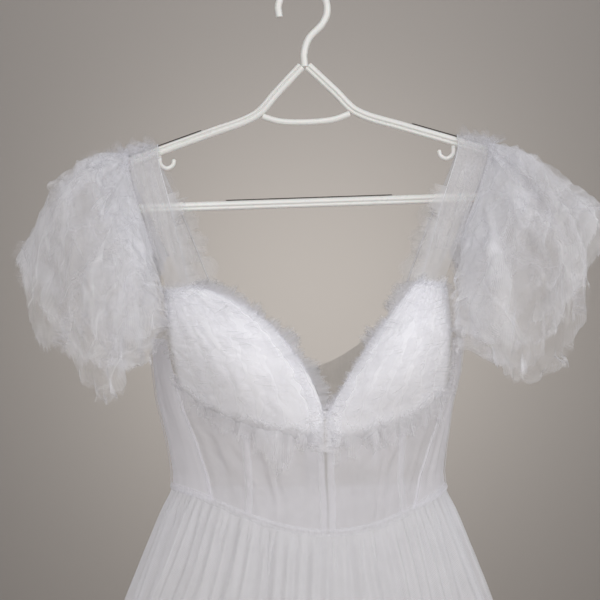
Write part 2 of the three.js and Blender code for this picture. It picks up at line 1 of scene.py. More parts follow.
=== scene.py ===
"""Looks of a white tulle party dress that hangs on a moulded plastic hanger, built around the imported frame.

The frame is in metres, +Z up, with the front of the dress towards -Y. The garment's own sizes below are in
millimetres, as a cutter writes them, and each piece is turned to metres when its mesh is made.
"""

import bmesh
import bpy
import numpy as np
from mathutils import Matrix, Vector


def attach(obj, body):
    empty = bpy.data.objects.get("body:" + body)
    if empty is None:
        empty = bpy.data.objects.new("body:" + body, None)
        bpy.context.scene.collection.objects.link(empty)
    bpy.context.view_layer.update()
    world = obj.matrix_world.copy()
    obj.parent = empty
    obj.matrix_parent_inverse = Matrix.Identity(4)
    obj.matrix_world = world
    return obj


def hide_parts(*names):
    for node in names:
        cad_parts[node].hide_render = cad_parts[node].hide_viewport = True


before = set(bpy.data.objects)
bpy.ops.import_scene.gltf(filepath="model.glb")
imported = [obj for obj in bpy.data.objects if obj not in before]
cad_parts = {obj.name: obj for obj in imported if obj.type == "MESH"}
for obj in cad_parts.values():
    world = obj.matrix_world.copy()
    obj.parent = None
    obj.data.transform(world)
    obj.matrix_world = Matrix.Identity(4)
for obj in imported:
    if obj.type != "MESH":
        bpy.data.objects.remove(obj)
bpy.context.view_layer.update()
MM = 0.001
NET_MESH = 0.0013  # the holes of the knitted net, in metres

# ------------------------------------------------------------------ the garment's driving sizes
# Bodice rings: height, middle, half width, and depth in front of the hanger's plane and behind it.
BODICE_RINGS = np.array([
    (-290, 2, 152, 84, 60),
    (-345, 5, 156, 88, 66),
    (-383, 5, 153, 87, 68),
    (-413, 3, 147, 84, 67),
    (-453, 5, 139, 80, 65),
    (-483, 6, 135, 78, 64),
    (-500, 7, 136, 78, 65),
    (-545, 7, 142, 82, 68),
], float)
CENTRE_FRONT, CENTRE_BACK = np.radians(7.4), np.radians(178)
SIDE_SEAM = {"left": np.radians(-88), "right": np.radians(92)}
SEAM_GAP = np.radians(0.2)  # how far a panel stops short of the side, centre front and centre back
PRINCESS_GAP = np.radians(0.12)  # and a side panel short of the front one
WAIST_Z, WAIST_FRONT_DIP, WAIST_BACK_DIP = -497, 38, 8
UNDERARM_Z = -350
BACK_NECK_Z, BACK_STRAP_Z = -381, -306
# From the centre back round: where a strap is sewn on, from and to, and where the back ends at the side seam.
BACK_STRAP_FROM, BACK_STRAP_TO, BACK_REACH = np.radians(39), np.radians(53), np.radians(88)

# Each cup's corners in the front view, how far its long edges bow out, and where the seam between the front and
# the side panel under it meets the waist.
CUPS = {
    "left": dict(
        side=-1, strap_inner=(-106, -297), strap_outer=(-136, -303), outer_low=(-122, -396),
        centre_low=(20.4, -449), v_point=(21.2, -421), neck_bow=25, outer_bow=3, low_bow=15, princess=-86,
    ),
    "right": dict(
        side=1, strap_inner=(112, -292), strap_outer=(142, -296), outer_low=(143, -402),
        centre_low=(24.2, -453), v_point=(23.4, -421), neck_bow=4, outer_bow=5, low_bow=12, princess=106,
    ),
}
CUP_DEPTH = 30
NECK_SHARE = 0.86  # of a cup's inner edge, the rest of which is the centre front

TILT = np.radians(1.9)
ARM_SLOPE = np.radians(17.85)
BEND_X, BEND_Z, ARM_END_X, BAR_Z = 52.6, -127.6, 190, -215
NECK_Z, NECK_HALF = -75, 3.6
TUBE_DEEP, TUBE_HIGH = 6.4, 9.2
HOOK_INNER, HOOK_THICK = 21, 7.2

STRAP_HALF = 15
STRAP_AT = {"left": -163, "right": 164}  # where each strap crosses its arm
STRAP_RISE = TUBE_HIGH / 2 + 0.3 + 0.8 + 1.8
STRAP_ARCH = 5.8
STRAP_HOOK_AT = {"left": 148, "right": 146}  # how far out under its arm each small hook is rooted

# Each flounce's hem and swell from front to back: out, forward and down from the shoulder.
FLOUNCE_HEM = {
    "left": [
        (-14, 66, 202), (4, 92, 230), (36, 94, 240), (90, 62, 204), (132, 0, 118),
        (96, -60, 196), (44, -90, 226), (12, -86, 214), (-4, -60, 190),
    ],
    "right": [
        (-6, 66, 216), (24, 92, 234), (70, 94, 220), (104, 62, 172), (145, 0, 75),
        (104, -60, 168), (62, -90, 212), (20, -86, 212), (-4, -60, 192),
    ],
}
FLOUNCE_PUFF = {
    "left": [
        (-20, 84, 150), (20, 108, 120), (66, 108, 80), (94, 72, 8), (83, 0, -2),
        (94, -70, 8), (66, -102, 78), (20, -98, 112), (-10, -76, 140),
    ],
    "right": [
        (-14, 84, 150), (30, 108, 122), (78, 108, 78), (92, 72, 22), (70, 0, 14),
        (92, -70, 22), (74, -102, 78), (26, -98, 114), (-10, -76, 140),
    ],
}
ROOT_FROM, ROOT_TO = 0.08, 0.92

SKIRT_LENGTH = 600
HEM_HALF, HEM_FRONT, HEM_BACK = 296, 212, 200
SKIRT_FLARE = 1.6
SKIRT_FOLDS = 12


# ------------------------------------------------------------------ small helpers
def lerp(a, b, t):
    return a + (b - a) * t


def smoothstep(low, high, x):
    t = np.clip((x - low) / (high - low), 0, 1)
    return t * t * (3 - 2 * t)


def arch(t, power=1.0):
    """An even arch over t: 0 at both ends and 1 in the middle."""
    return np.sin(np.pi * np.clip(t, 0, 1)) ** power


def turned(u, turn):
    """u as it is, or run from its other end."""
    return 1 - u if turn else u


def unit(vectors):
    return vectors / np.maximum(np.linalg.norm(vectors, axis=-1, keepdims=True), 1e-9)


def bump_line(x, centre, width):
    """A soft ridge, one high at its centre."""
    return np.exp(-(((x - centre) / width) ** 2))


def wander(seed, x, rate):
    """A smooth random line along x, about -1 to 1, that changes about rate times over its length."""
    rng = np.random.default_rng(seed)
    total = np.zeros_like(x)
    for octave, share in ((1, 0.6), (2.1, 0.3), (4.3, 0.15)):
        knots = rng.uniform(-1, 1, int(rate * octave) + 4)
        at = np.clip(x, 0, 1) * (len(knots) - 1.001)
        k = at.astype(int)
        t = at - k
        t = t * t * (3 - 2 * t)
        total += share * lerp(knots[k], knots[k + 1], t)
    return total


def wander_2d(seed, u, v, rate_u, rate_v):
    """A smooth random surface over a piece of cloth, about -1 to 1."""
    rng = np.random.default_rng(seed)
    total = np.zeros_like(u)
    for octave, share in ((1, 0.6), (2.2, 0.3), (4.6, 0.15)):
        knots = rng.uniform(-1, 1, (int(rate_u * octave) + 4, int(rate_v * octave) + 4))
        at_u = np.clip(u, 0, 1) * (knots.shape[0] - 1.001)
        at_v = np.clip(v, 0, 1) * (knots.shape[1] - 1.001)
        i, j = at_u.astype(int), at_v.astype(int)
        s, t = at_u - i, at_v - j
        s, t = s * s * (3 - 2 * s), t * t * (3 - 2 * t)
        near = lerp(knots[i, j], knots[i + 1, j], s)
        far = lerp(knots[i, j + 1], knots[i + 1, j + 1], s)
        total += share * lerp(near, far, t)
    return total


def smooth_path(points, t):
    """Points on a centripetal spline through the given ones; t from 0 to 1 passes each span in equal time."""
    points = np.asarray(points, float)
    spans = len(points) - 1
    at = np.clip(t, 0, 1) * spans
    k = np.minimum(at.astype(int), spans - 1)
    w = (at - k)[..., None]
    ends = np.vstack([2 * points[:1] - points[1:2], points, 2 * points[-1:] - points[-2:-1]])
    p0, p1, p2, p3 = (ends[k + j] for j in range(4))
    steps = (p1 - p0, p2 - p1, p3 - p2)
    d0, d1, d2 = (np.linalg.norm(step, axis=-1, keepdims=True) ** 0.5 for step in steps)
    m1 = ((p1 - p0) / d0 - (p2 - p0) / (d0 + d1) + (p2 - p1) / d1) * d1
    m2 = ((p2 - p1) / d1 - (p3 - p1) / (d1 + d2) + (p3 - p2) / d2) * d1
    return p1 + m1 * w + (3 * (p2 - p1) - 2 * m1 - m2) * w**2 + (2 * (p1 - p2) + m1 + m2) * w**3


# ------------------------------------------------------------------ the garment's surfaces, in millimetres
def ring(z):
    return [np.interp(-z, -BODICE_RINGS[:, 0], BODICE_RINGS[:, k]) for k in (1, 2, 3, 4)]


def ring_point(angle, z, out=0.0):
    """A point of the bodice. Angle 0 is the front and a quarter turn is the right side."""
    angle, z = np.broadcast_arrays(np.asarray(angle, float), np.asarray(z, float))
    middle, half, front, back = ring(z)
    depth = np.where(np.cos(angle) > 0, front, back) + out
    return np.stack([middle + (half + out) * np.sin(angle), -depth * np.cos(angle), z], -1)


def front_angle(x, z):
    middle, half, _, _ = ring(z)
    return np.arcsin(np.clip((x - middle) / half, -1, 1))


def waist_z(angle):
    turn = np.cos(angle - CENTRE_FRONT)
    return WAIST_Z - np.where(turn > 0, WAIST_FRONT_DIP * turn**3, WAIST_BACK_DIP * turn**2)


def back_top_z(turn):
    """Height of the back's top edge at an angle from the centre back."""
    low = lerp(BACK_NECK_Z, BACK_STRAP_Z, np.clip(turn / BACK_STRAP_FROM, 0, 1) ** 1.5)
    share = np.clip((turn - BACK_STRAP_TO) / (BACK_REACH - BACK_STRAP_TO), 0, 1)
    return np.where(turn < BACK_STRAP_TO, low, lerp(BACK_STRAP_Z, UNDERARM_Z, np.sin(share * np.pi / 2)))


def bowed(start, end, bow, t):
    start, end = np.array(start, float), np.array(end, float)
    across = np.array([-(end - start)[1], (end - start)[0]]) / np.linalg.norm(end - start)
    return start + (end - start) * t[..., None] + across * (bow * 4 * t * (1 - t))[..., None]


def cup_edge(cup, edge, t):
    """A point of one edge of a cup in the front view: outer, neck, top or low."""
    t = np.asarray(t, float)
    side = cup["side"]
    if edge == "outer":
        return bowed(cup["strap_outer"], cup["outer_low"], side * cup["outer_bow"], t)
    if edge == "low":
        return bowed(cup["outer_low"], cup["centre_low"], side * cup["low_bow"], t)
    if edge == "top":
        return bowed(cup["strap_outer"], cup["strap_inner"], 0, t)
    neckline = bowed(cup["strap_inner"], cup["v_point"], -side * cup["neck_bow"], np.minimum(t / NECK_SHARE, 1))
    centre = bowed(cup["v_point"], cup["centre_low"], 0, np.maximum((t - NECK_SHARE) / (1 - NECK_SHARE), 0))
    return np.where((t < NECK_SHARE)[..., None], neckline, centre)


def cup_point(cup, u, v):
    """A point of a cup: u runs from its outer edge to the neckline, v from the strap down."""
    u, v = np.broadcast_arrays(np.asarray(u, float), np.asarray(v, float))
    across, down = u[..., None], v[..., None]
    corners = [np.array(cup[key], float) for key in ("strap_outer", "strap_inner", "outer_low", "centre_low")]
    mixed = lerp(lerp(corners[0], corners[1], across), lerp(corners[2], corners[3], across), down)
    sides = lerp(cup_edge(cup, "outer", v), cup_edge(cup, "neck", v), across)
    ends = lerp(cup_edge(cup, "top", u), cup_edge(cup, "low", u), down)
    x, z = np.moveaxis(sides + ends - mixed, -1, 0)
    swell = CUP_DEPTH * arch(u, 0.75) * arch(np.clip(v, 0, 1) ** 1.15, 0.9)
    y = ring_point(front_angle(x, z), z)[..., 1]
    return np.stack([x, y - swell, z], -1)


def cup_frame(cup, u, v):
    """A cup's point, its outward normal and the way to the neckline and down along it."""
    step = 0.015
    point = cup_point(cup, u, v)
    to_neck = unit(cup_point(cup, u + step, v) - cup_point(cup, u - step, v))
    down = unit(cup_point(cup, u, v + step) - cup_point(cup, u, v - step))
    return point, unit(np.cross(to_neck, down) * cup["side"]), to_neck, down


def arm_z(x):
    return BEND_Z - (abs(x) - BEND_X) * np.tan(ARM_SLOPE)


def tilted(x, y, z):
    """A point of the hanger, which hangs a little askew."""
    return np.array([x * np.cos(TILT) - z * np.sin(TILT), y, x * np.sin(TILT) + z * np.cos(TILT)])


def strap_point(name, t, offset=0.0):
    """A point of a strap: t runs from its front end over the hanger's arm to its back end."""
    cup = CUPS[name]
    side, arm_x = cup["side"], STRAP_AT[name]
    top = arm_z(arm_x) + STRAP_RISE
    over_arm = ((-1, 14), (-0.72, 3), (0, 0), (0.72, 3), (1, 14))
    saddle = [tilted(arm_x, STRAP_ARCH * share, top - drop) for share, drop in over_arm]
    outer, inner = cup_point(cup, 0, 0), cup_point(cup, 1, 0)
    front = (outer + inner) / 2 + (0, 0, 0.7)
    turn = side * (np.pi - (BACK_STRAP_FROM + BACK_STRAP_TO) / 2) + (CENTRE_BACK - np.pi)
    back = ring_point(turn, BACK_STRAP_Z + 0.7)
    path = [front, (front + saddle[0]) / 2 + (0, -3, 0), *saddle, (back + saddle[-1]) / 2 + (0, 3, 0), back]
    along_arm = unit(tilted(side, 0, -np.tan(ARM_SLOPE)))
    back_wide = unit(ring_point(turn + 0.02, BACK_STRAP_Z) - ring_point(turn - 0.02, BACK_STRAP_Z))
    back_wide *= np.sign(back_wide[0]) * side
    t = np.asarray(t, float)
    to_arm = np.clip(np.minimum(t, 1 - t) / 0.22, 0, 1)[..., None]
    wide = np.where((t < 0.5)[..., None], unit(outer - inner), back_wide)
    across = unit(lerp(wide, along_arm, to_arm))
    return smooth_path(path, t) + across * np.asarray(offset, float)[..., None]


def flounce_point(name, u, v, root_gap=1.4):
    """A point of a sleeve's smooth shape: u runs from front to back, v from the strap to the hem."""
    side = CUPS[name]["side"]
    shoulder = strap_point(name, 0.5)
    hem, puff = (
        smooth_path([shoulder + (side * out, -forward, -down) for out, forward, down in rows], u)
        for rows in (FLOUNCE_HEM[name], FLOUNCE_PUFF[name])
    )
    root = strap_point(name, lerp(ROOT_FROM, ROOT_TO, u), STRAP_HALF + root_gap)
    v = v[..., None]
    return root * (1 - v) ** 2 + puff * 2 * v * (1 - v) + hem * v**2


def flounce_frame(name, u, v):
    step = 0.012
    point = flounce_point(name, u, v)
    along = flounce_point(name, u + step, v) - flounce_point(name, u - step, v)
    down = flounce_point(name, u, np.minimum(v + step, 1)) - flounce_point(name, u, np.maximum(v - step, 0))
    out = unit(np.cross(down, along)) * CUPS[name]["side"]
    return point, out, unit(along), unit(down)


def skirt_point(angle, t, ripple):
    """A point of the skirt, t from the gathered waist to the hem; the ripple stands out of its smooth cone."""
    top_z = waist_z(angle) - 0.7
    middle, top_half, top_front, top_back = ring(top_z)
    spread = 1 - (1 - t) ** SKIRT_FLARE
    half = lerp(top_half, HEM_HALF, spread) + ripple
    front, back = lerp(top_front, HEM_FRONT, spread), lerp(top_back, HEM_BACK, spread)
    depth = np.where(np.cos(angle) > 0, front, back) + ripple
    z = lerp(top_z, WAIST_Z - SKIRT_LENGTH, t)
    return np.stack([lerp(middle, 4, t) + half * np.sin(angle), -depth * np.cos(angle), z], -1)


# ------------------------------------------------------------------ meshes
def new_object(name, data):
    thing = bpy.data.objects.new(name, data)
    bpy.context.scene.collection.objects.link(thing)
    return thing


def grid_mesh(name, columns, rows, size=1):
    bm = bmesh.new()
    bmesh.ops.create_grid(bm, x_segments=columns, y_segments=rows, size=size)
    mesh = bpy.data.meshes.new(name)
    bm.to_mesh(mesh)
    bm.free()
    return mesh


def weld(mesh):
    """Joins the long edges of a tube, and closes its ends where their points meet."""
    bm = bmesh.new()
    bm.from_mesh(mesh)
    bmesh.ops.remove_doubles(bm, verts=bm.verts, dist=1e-5)
    bmesh.ops.recalc_face_normals(bm, faces=bm.faces)
    bm.to_mesh(mesh)
    bm.free()


def grid_piece(name, columns, rows, place, cut, welded=False):
    """A grid of cloth, put in place by place(u, v). The cut is its flat width and length, for its UV map.

    place gives millimetres, and may also give how thick the cloth lies and how far each point is from a raw edge.
    """
    mesh = grid_mesh(name, columns, rows)
    flat = np.empty(len(mesh.vertices) * 3)
    mesh.vertices.foreach_get("co", flat)
    flat = flat.reshape(-1, 3)
    u, v = (flat[:, 0] + 1) / 2, (1 - flat[:, 1]) / 2
    placed = place(u, v)
    points, extra = placed if isinstance(placed, tuple) else (placed, {})
    mesh.vertices.foreach_set("co", (points * MM).ravel())
    corner = np.empty(len(mesh.loops), int)
    mesh.loops.foreach_get("vertex_index", corner)
    layer = mesh.uv_layers.new(name="cloth")
    layer.data.foreach_set("uv", np.stack([u[corner] * cut[0], v[corner] * cut[1]], -1).ravel())
    for key in ("cover", "edge"):
        values = np.broadcast_to(extra.get(key, 1.0), u.shape).astype(np.float32)
        mesh.attributes.new(key, "FLOAT", "POINT").data.foreach_set("value", values)
    if welded:
        weld(mesh)
    mesh.shade_smooth()
    return new_object(name, mesh)


def joined(name, pieces):
    """One piece made of several meshes."""
    bm = bmesh.new()
    for piece in pieces:
        bm.from_mesh(piece.data)
    mesh = pieces[0].data
    bm.to_mesh(mesh)
    bm.free()
    for piece in pieces:
        bpy.data.objects.remove(piece)
    mesh.name = name
    return new_object(name, mesh)


def finish_piece(piece, material, nodes=()):
    piece.data.materials.clear()
    piece.data.materials.append(material)
    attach(piece, "root")
    if nodes:
        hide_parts(*nodes)
    return piece


# ------------------------------------------------------------------ materials
def srgb(code):
    """An sRGB hex colour as the linear RGBA that the shader wants."""
    parts = [int(code[k : k + 2], 16) / 255 for k in (1, 3, 5)]
    return tuple(c / 12.92 if c <= 0.04045 else ((c + 0.055) / 1.055) ** 2.4 for c in parts) + (1.0,)


def add_node(tree, kind, settings=(), links=()):
    """Adds a node. A setting whose key is a socket's name or number sets that input, and any other its property."""
    node = tree.nodes.new(kind)
    for key, value in dict(settings).items():
        if isinstance(key, int) or key in node.inputs:
            node.inputs[key].default_value = value
        else:
            setattr(node, key, value)
    for key, source in dict(links).items():
        tree.links.new(source, node.inputs[key])
    return node


def new_material(name, colour, **settings):
    material = bpy.data.materials.new(name)
    material.use_nodes = True
    shader = material.node_tree.nodes["Principled BSDF"]
    shader.inputs["Base Color"].default_value = srgb(colour)
    for key, value in settings.items():
        shader.inputs[key.replace("_", " ")].default_value = value
    return material, material.node_tree, shader


def math_node(tree, operation, a, b=None, **settings):
    inputs = {key: value for key, value in ((0, a), (1, b)) if value is not None}
    links = {key: value for key, value in inputs.items() if not isinstance(value, float)}
    numbers = {key: value for key, value in inputs.items() if isinstance(value, float)}
    return add_node(tree, "ShaderNodeMath", {"operation": operation, **numbers, **settings}, links).outputs[0]


def map_range(tree, source, low, high, to_low, to_high):
    return add_node(tree, "ShaderNodeMapRange", {1: low, 2: high, 3: to_low, 4: to_high}, {0: source}).outputs[0]


def noise(tree, where, scale, detail, **settings):
    values = {"Scale": scale, "Detail": detail, **settings}
    return add_node(tree, "ShaderNodeTexNoise", values, {"Vector": where}).outputs[0]


def bump(tree, shader, height, strength, distance):
    """Adds relief to a shader; the distance is in metres."""
    relief = add_node(tree, "ShaderNodeBump", {"Strength": strength, "Distance": distance}, {"Height": height})
    tree.links.new(relief.outputs[0], shader.inputs["Normal"])


def see_through(tree, share, surface):
    """Shows a surface by its share, and nothing for the rest."""
    holes = add_node(tree, "ShaderNodeBsdfTransparent").outputs[0]
    mixed = add_node(tree, "ShaderNodeMixShader", (), {0: share, 1: holes, 2: surface}).outputs[0]
    tree.links.new(mixed, tree.nodes["Material Output"].inputs["Surface"])


def attribute(tree, name):
    return add_node(tree, "ShaderNodeAttribute", {"attribute_name": name}).outputs["Fac"]


def net_threads(tree, cloth):
    """The net's density over its cut: three sets of rows, 60 degrees apart, that leave hexagonal holes."""
    rows = []
    for degrees in (0, 60, 120):
        turn = np.radians(degrees)
        pitch = 2 * np.pi / NET_MESH
        along = (pitch * np.cos(turn), pitch * np.sin(turn), 0.0)
        run = add_node(tree, "ShaderNodeVectorMath", {"operation": "DOT_PRODUCT", 1: along}, {0: cloth}).outputs[1]
        rows.append(math_node(tree, "COSINE", run))
    total = math_node(tree, "ADD", math_node(tree, "ADD", rows[0], rows[1]), rows[2])
    return map_range(tree, total, -1.5, 3.0, 1.1, 0.8)


def frayed_edge(tree, cloth, fray):
    """How much of the net is left toward a raw edge, where single threads of it are torn away."""
    fibre = add_node(tree, "ShaderNodeMapping", {"Scale": (*FIBRE_RATE, 1.0)}, {"Vector": cloth}).outputs[0]
    torn = noise(tree, fibre, 1.0, 1.0, noise_dimensions="2D")
    lost = map_range(tree, torn, 0.3, 0.7, 0.0, fray)
    return map_range(tree, math_node(tree, "SUBTRACT", attribute(tree, "edge"), lost), 0.0, fray * 1.2, 0.0, 1.0)


def net_tulle(name, colour, cover, fray=0.003, sheen=0.3, through=0.45, clouds=0.16, crease=None):
    """Nylon tulle, a knitted hexagonal net. To the eye it is a white haze that thickens where plies gather.

    Light comes through the net from both sides, so part of its white is translucent. The cover attribute says how
    densely the cloth lies, and the edge attribute how far in metres a point is from a raw edge, which frays.
    A crease is a spacing in metres, a half width and how much thicker the cloth looks along it.
    """
    settings = dict(Roughness=0.85, Sheen_Weight=sheen, Sheen_Roughness=0.45, Specular_IOR_Level=0.2)
    material, tree, shader = new_material(name, colour, **settings)
    cloth = add_node(tree, "ShaderNodeUVMap", {"uv_map": "cloth"}).outputs[0]
    where = add_node(tree, "ShaderNodeTexCoord").outputs["Object"]
    cloud = noise(tree, where, CLOUD_SCALE, 3.0)
    haze = map_range(tree, cloud, 0.3, 0.7, (1 - clouds) * cover, (1 + clouds) * cover)
    if crease:
        spacing, half, gain = crease
        upright = add_node(tree, "ShaderNodeMapping", {"Scale": (1.0, 1.0, 0.6)}, {"Vector": where}).outputs[0]
        crumple = noise(tree, upright, 1 / spacing, 2.0, Distortion=0.4)
        away = math_node(tree, "ABSOLUTE", math_node(tree, "SUBTRACT", crumple, 0.5))
        haze = math_node(tree, "MULTIPLY", haze, map_range(tree, away, 0.0, half, 1 + gain, 1 - 0.2 * gain))
    dense = math_node(tree, "MULTIPLY", net_threads(tree, cloth), haze)
    dense = math_node(tree, "MULTIPLY", dense, attribute(tree, "cover"))
    seen = math_node(tree, "MULTIPLY", dense, frayed_edge(tree, cloth, fray), use_clamp=True)
    glow = add_node(tree, "ShaderNodeBsdfTranslucent", {"Color": srgb(colour)}).outputs[0]
    white = add_node(tree, "ShaderNodeMixShader", {0: through}, {1: shader.outputs[0], 2: glow}).outputs[0]
    see_through(tree, seen, white)
    return material


def satin_tape(name, colour):
    """Woven satin tape, or a cord: fine ribs across it and a soft gleam along it."""
    material, tree, shader = new_material(name, colour, Roughness=0.45, Sheen_Weight=0.3, Specular_IOR_Level=0.5)
    cloth = add_node(tree, "ShaderNodeUVMap", {"uv_map": "cloth"}).outputs[0]
    wave = {"bands_direction": "Y", "Scale": 0.314 / TAPE_RIB, "Distortion": 0.6}
    ribs = add_node(tree, "ShaderNodeTexWave", wave, {"Vector": cloth}).outputs["Fac"]
    bump(tree, shader, ribs, 0.3, 0.0003)
    return material


def grained(name, colour, scale, detail, relief=None, gloss=None, veiled=False, **settings):
    """A solid surface with a fine grain in its relief, its roughness or both. A veiled one thins with its cover."""
    material, tree, shader = new_material(name, colour, **settings)
    grain = noise(tree, add_node(tree, "ShaderNodeTexCoord").outputs["Object"], scale, detail)
    if relief:
        bump(tree, shader, grain, *relief)
    if gloss:
        tree.links.new(map_range(tree, grain, 0.3, 0.7, *gloss), shader.inputs["Roughness"])
    if veiled:
        see_through(tree, attribute(tree, "cover"), shader.outputs[0])
    return material


FIBRE_RATE = (1 / 0.002, 1 / 0.006)  # torn threads lie about 2 mm apart along a raw edge, and 6 mm deep into it
CLOUD_SCALE = 38.0
TAPE_RIB = 0.0016
TULLE = net_tulle("tulle_sleeve", "#F2F2F5", 0.2, crease=(0.048, 0.05, 0.5))
TULLE_SHEER = net_tulle("tulle_bodice", "#F4F3F8", 0.66, clouds=0.06)
# The back panels are white tulle drawn greige: painted shade, for the shadow that lies inside the back of the
# dress.
TULLE_BACK_PAINTED_SHADE = net_tulle("tulle_back_painted_shade", "#B9B5B0", 0.55)
TULLE_VEIL = net_tulle("tulle_strap", "#F2F2F5", 0.36, fray=0.002)
TULLE_RUCHE = net_tulle("tulle_ruche", "#F8F8FB", 0.24, fray=0.004, through=0.75)
TULLE_FRILL = net_tulle("tulle_frill", "#FAFAFD", 0.38, fray=0.003, sheen=0.4, through=0.65)
TULLE_CUP = net_tulle("tulle_cup_frill", "#FAFAFD", 0.24, fray=0.004, sheen=0.4, through=0.8)
TULLE_HEM = net_tulle("tulle_hem_frill", "#FDFDFF", 0.38, fray=0.004, sheen=0.4, through=0.6)
TULLE_SKIRT = net_tulle("tulle_skirt", "#F3F3F6", 0.36, clouds=0.06)
TAPE = satin_tape("satin_boning_tape", "#F4F4F6")
CORD = satin_tape("cotton_cord", "#D2D2D6")
# White knit over a moulded foam cup: matt, close and nearly opaque behind the frills.
CUP_CLOTH = grained(
    "knit_over_foam_cup", "#E6E6EA", 900.0, 2.0, relief=(0.3, 0.0005), veiled=True, Roughness=0.9, Sheen_Weight=0.4,
    Specular_IOR_Level=0.2, Subsurface_Weight=0.6, Subsurface_Radius=(1.0, 1.0, 1.0), Subsurface_Scale=0.006,
)
# White polypropylene, injection moulded: a satin gloss with the faint waviness of the mould.
PLASTIC = grained(
    "moulded_polypropylene", "#DEDEDB", 120.0, 3.0, relief=(0.12, 0.0006), gloss=(0.24, 0.36), Roughness=0.28,
    IOR=1.49, Specular_IOR_Level=0.6, Subsurface_Weight=0.08, Subsurface_Scale=0.004,
)
# Dark soft rubber with a fine grain, which stops straps sliding.
RUBBER = grained(
    "soft_rubber_strip", "#35322F", 1500.0, 2.0, relief=(0.5, 0.0003), Roughness=0.8, Specular_IOR_Level=0.3
)
# Nickel-plated steel wire, drawn and bent: bright with a slight brushed haze.
WIRE = grained("nickelled_steel_wire", "#B4B2B0", 2000.0, 2.0, gloss=(0.22, 0.42), Metallic=1.0, Roughness=0.3)


# ------------------------------------------------------------------ bodice
def soft_folds(seed, u, v, count, height):
    """Long soft troughs that run down a panel and wander a little sideways."""
    drift = 0.35 * wander_2d(seed, u, v, 2, 3) / count
    lines = np.sin(2 * np.pi * count * (u + drift) + 4 * wander(seed + 1, u, count))
    strength = 0.55 + 0.45 * wander_2d(seed + 2, u, v, count, 2)
    return height * lines * strength


def sewn_round(u, v):
    """1 in the middle of a panel and 0 along its sewn edges."""
    return arch(v, 0.5) * arch(u, 0.5)


def panel(name, top, bottom, nodes, material, seed, folds, columns=60, out=0.0, cover=1.0):
    """A bodice panel between a top and a bottom line of angle and height, both functions of u."""
    def place(u, v):
        (top_angle, top_z), (low_angle, low_z) = top(u), bottom(u)
        angle, z = lerp(top_angle, low_angle, v), lerp(top_z, low_z, v)
        relief = sewn_round(u, v) * soft_folds(seed, u, v, folds, 1.6)
        return ring_point(angle, z, out + relief), {"cover": cover}

    piece = grid_piece(name, columns, 60, place, (0.2, 0.16))
    return finish_piece(piece, material, nodes)


def princess_angle(cup):
    """Where the seam between a front and a side panel meets the waist."""
    return front_angle(cup["princess"], np.float64(WAIST_Z))


def front_lines(name):
    cup = CUPS[name]
    side = cup["side"]
    centre = CENTRE_FRONT + side * SEAM_GAP

    def lapped(angle, s):
        return angle + side * PRINCESS_LAP * (1 - s) ** 6

    def top(u):
        s = turned(u, side > 0)
        x, z = np.moveaxis(cup_edge(cup, "low", s), -1, 0)
        return lapped(front_angle(x, z), s), z + TUCK

    def bottom(u):
        s = turned(u, side > 0)
        angle = lapped(lerp(princess_angle(cup), centre, s), s)
        return angle, waist_z(angle)

    return top, bottom


def side_grid(name):
    cup = CUPS[name]
    side = cup["side"]
    side_seam = SIDE_SEAM[name] - side * SEAM_GAP
    princess = princess_angle(cup) + side * PRINCESS_GAP

    def place(u, v):
        s = turned(u, side < 0)
        x, z = np.moveaxis(cup_edge(cup, "outer", lerp(0.5, 1.0, np.minimum(v / 0.5, 1))), -1, 0)
        low = np.maximum((v - 0.5) / 0.5, 0)
        angle = lerp(front_angle(x, z) + side * PRINCESS_GAP, princess, low)
        z = lerp(z, waist_z(princess), low)
        around = lerp(angle, side_seam, s)
        height = lerp(z, lerp(UNDERARM_Z, waist_z(side_seam), v), s)
        relief = sewn_round(u, v) * soft_folds(31 + side, u, v, 3, 1.4)
        return ring_point(around, height, relief), {"cover": SIDE_COVER[name]}

    return place


def back_lines(name):
    side = CUPS[name]["side"]
    side_seam = SIDE_SEAM[name] + side * SEAM_GAP
    centre = (CENTRE_BACK - 2 * np.pi if side < 0 else CENTRE_BACK) - side * SEAM_GAP
    reach = abs(centre - side_seam)

    def top(u):
        turn = turned(u, side > 0) * reach
        return centre - side * turn, back_top_z(np.minimum(turn, BACK_REACH))

    def bottom(u):
        angle = centre - side * turned(u, side > 0) * reach
        return angle, waist_z(angle)

    return top, bottom


PRINCESS_LAP = np.radians(2.2)  # how far a front panel reaches under the side one
TUCK = 14  # and up under the cup, in millimetres
FRONT_COVER = {"left": 1.1, "right": 1.0}  # how densely each panel lies
SIDE_COVER = {"left": 1.9, "right": 1.25}
# Boned channels: angle round the body in degrees, and half width. Each dresses the CAD node of the same name.
CHANNELS = {
    "front_centre": (7.4, 7.5), "front_left": (-25, 4.2), "front_right": (41, 4.2),
    "back_left": (-140, 4.2), "back_right": (136, 4.2),
}
SEAM_HALF = 2.4  # half width of the strip over a plain seam
PLACKET_HALF, STITCH = 8.0, 2.5  # the placket's half width, and the length of its stitches


def channel(name, start, stop, top_z, low_z, half, nodes=()):
    """A folded strip of tulle down the bodice, stitched along both edges, over a bone or a seam."""
    def place(u, v):
        z = lerp(top_z, low_z, v)
        across = lerp(-half, half, u) * (1 + 0.12 * wander(41, v, 5))
        wave = 0.35 * wander_2d(43, u, v, 2, 9)
        out = 1.0 + 1.4 * np.sin(np.pi * u) + wave
        return ring_point(lerp(start, stop, v) + across / ring(z)[1], z, out), {"cover": 1.25}

    length = (top_z - low_z) * MM
    wide = 2 * half * MM
    piece = grid_piece(f"channel_{name}", 8, 40, place, (wide, length))
    finish_piece(piece, TULLE_FRILL, nodes)


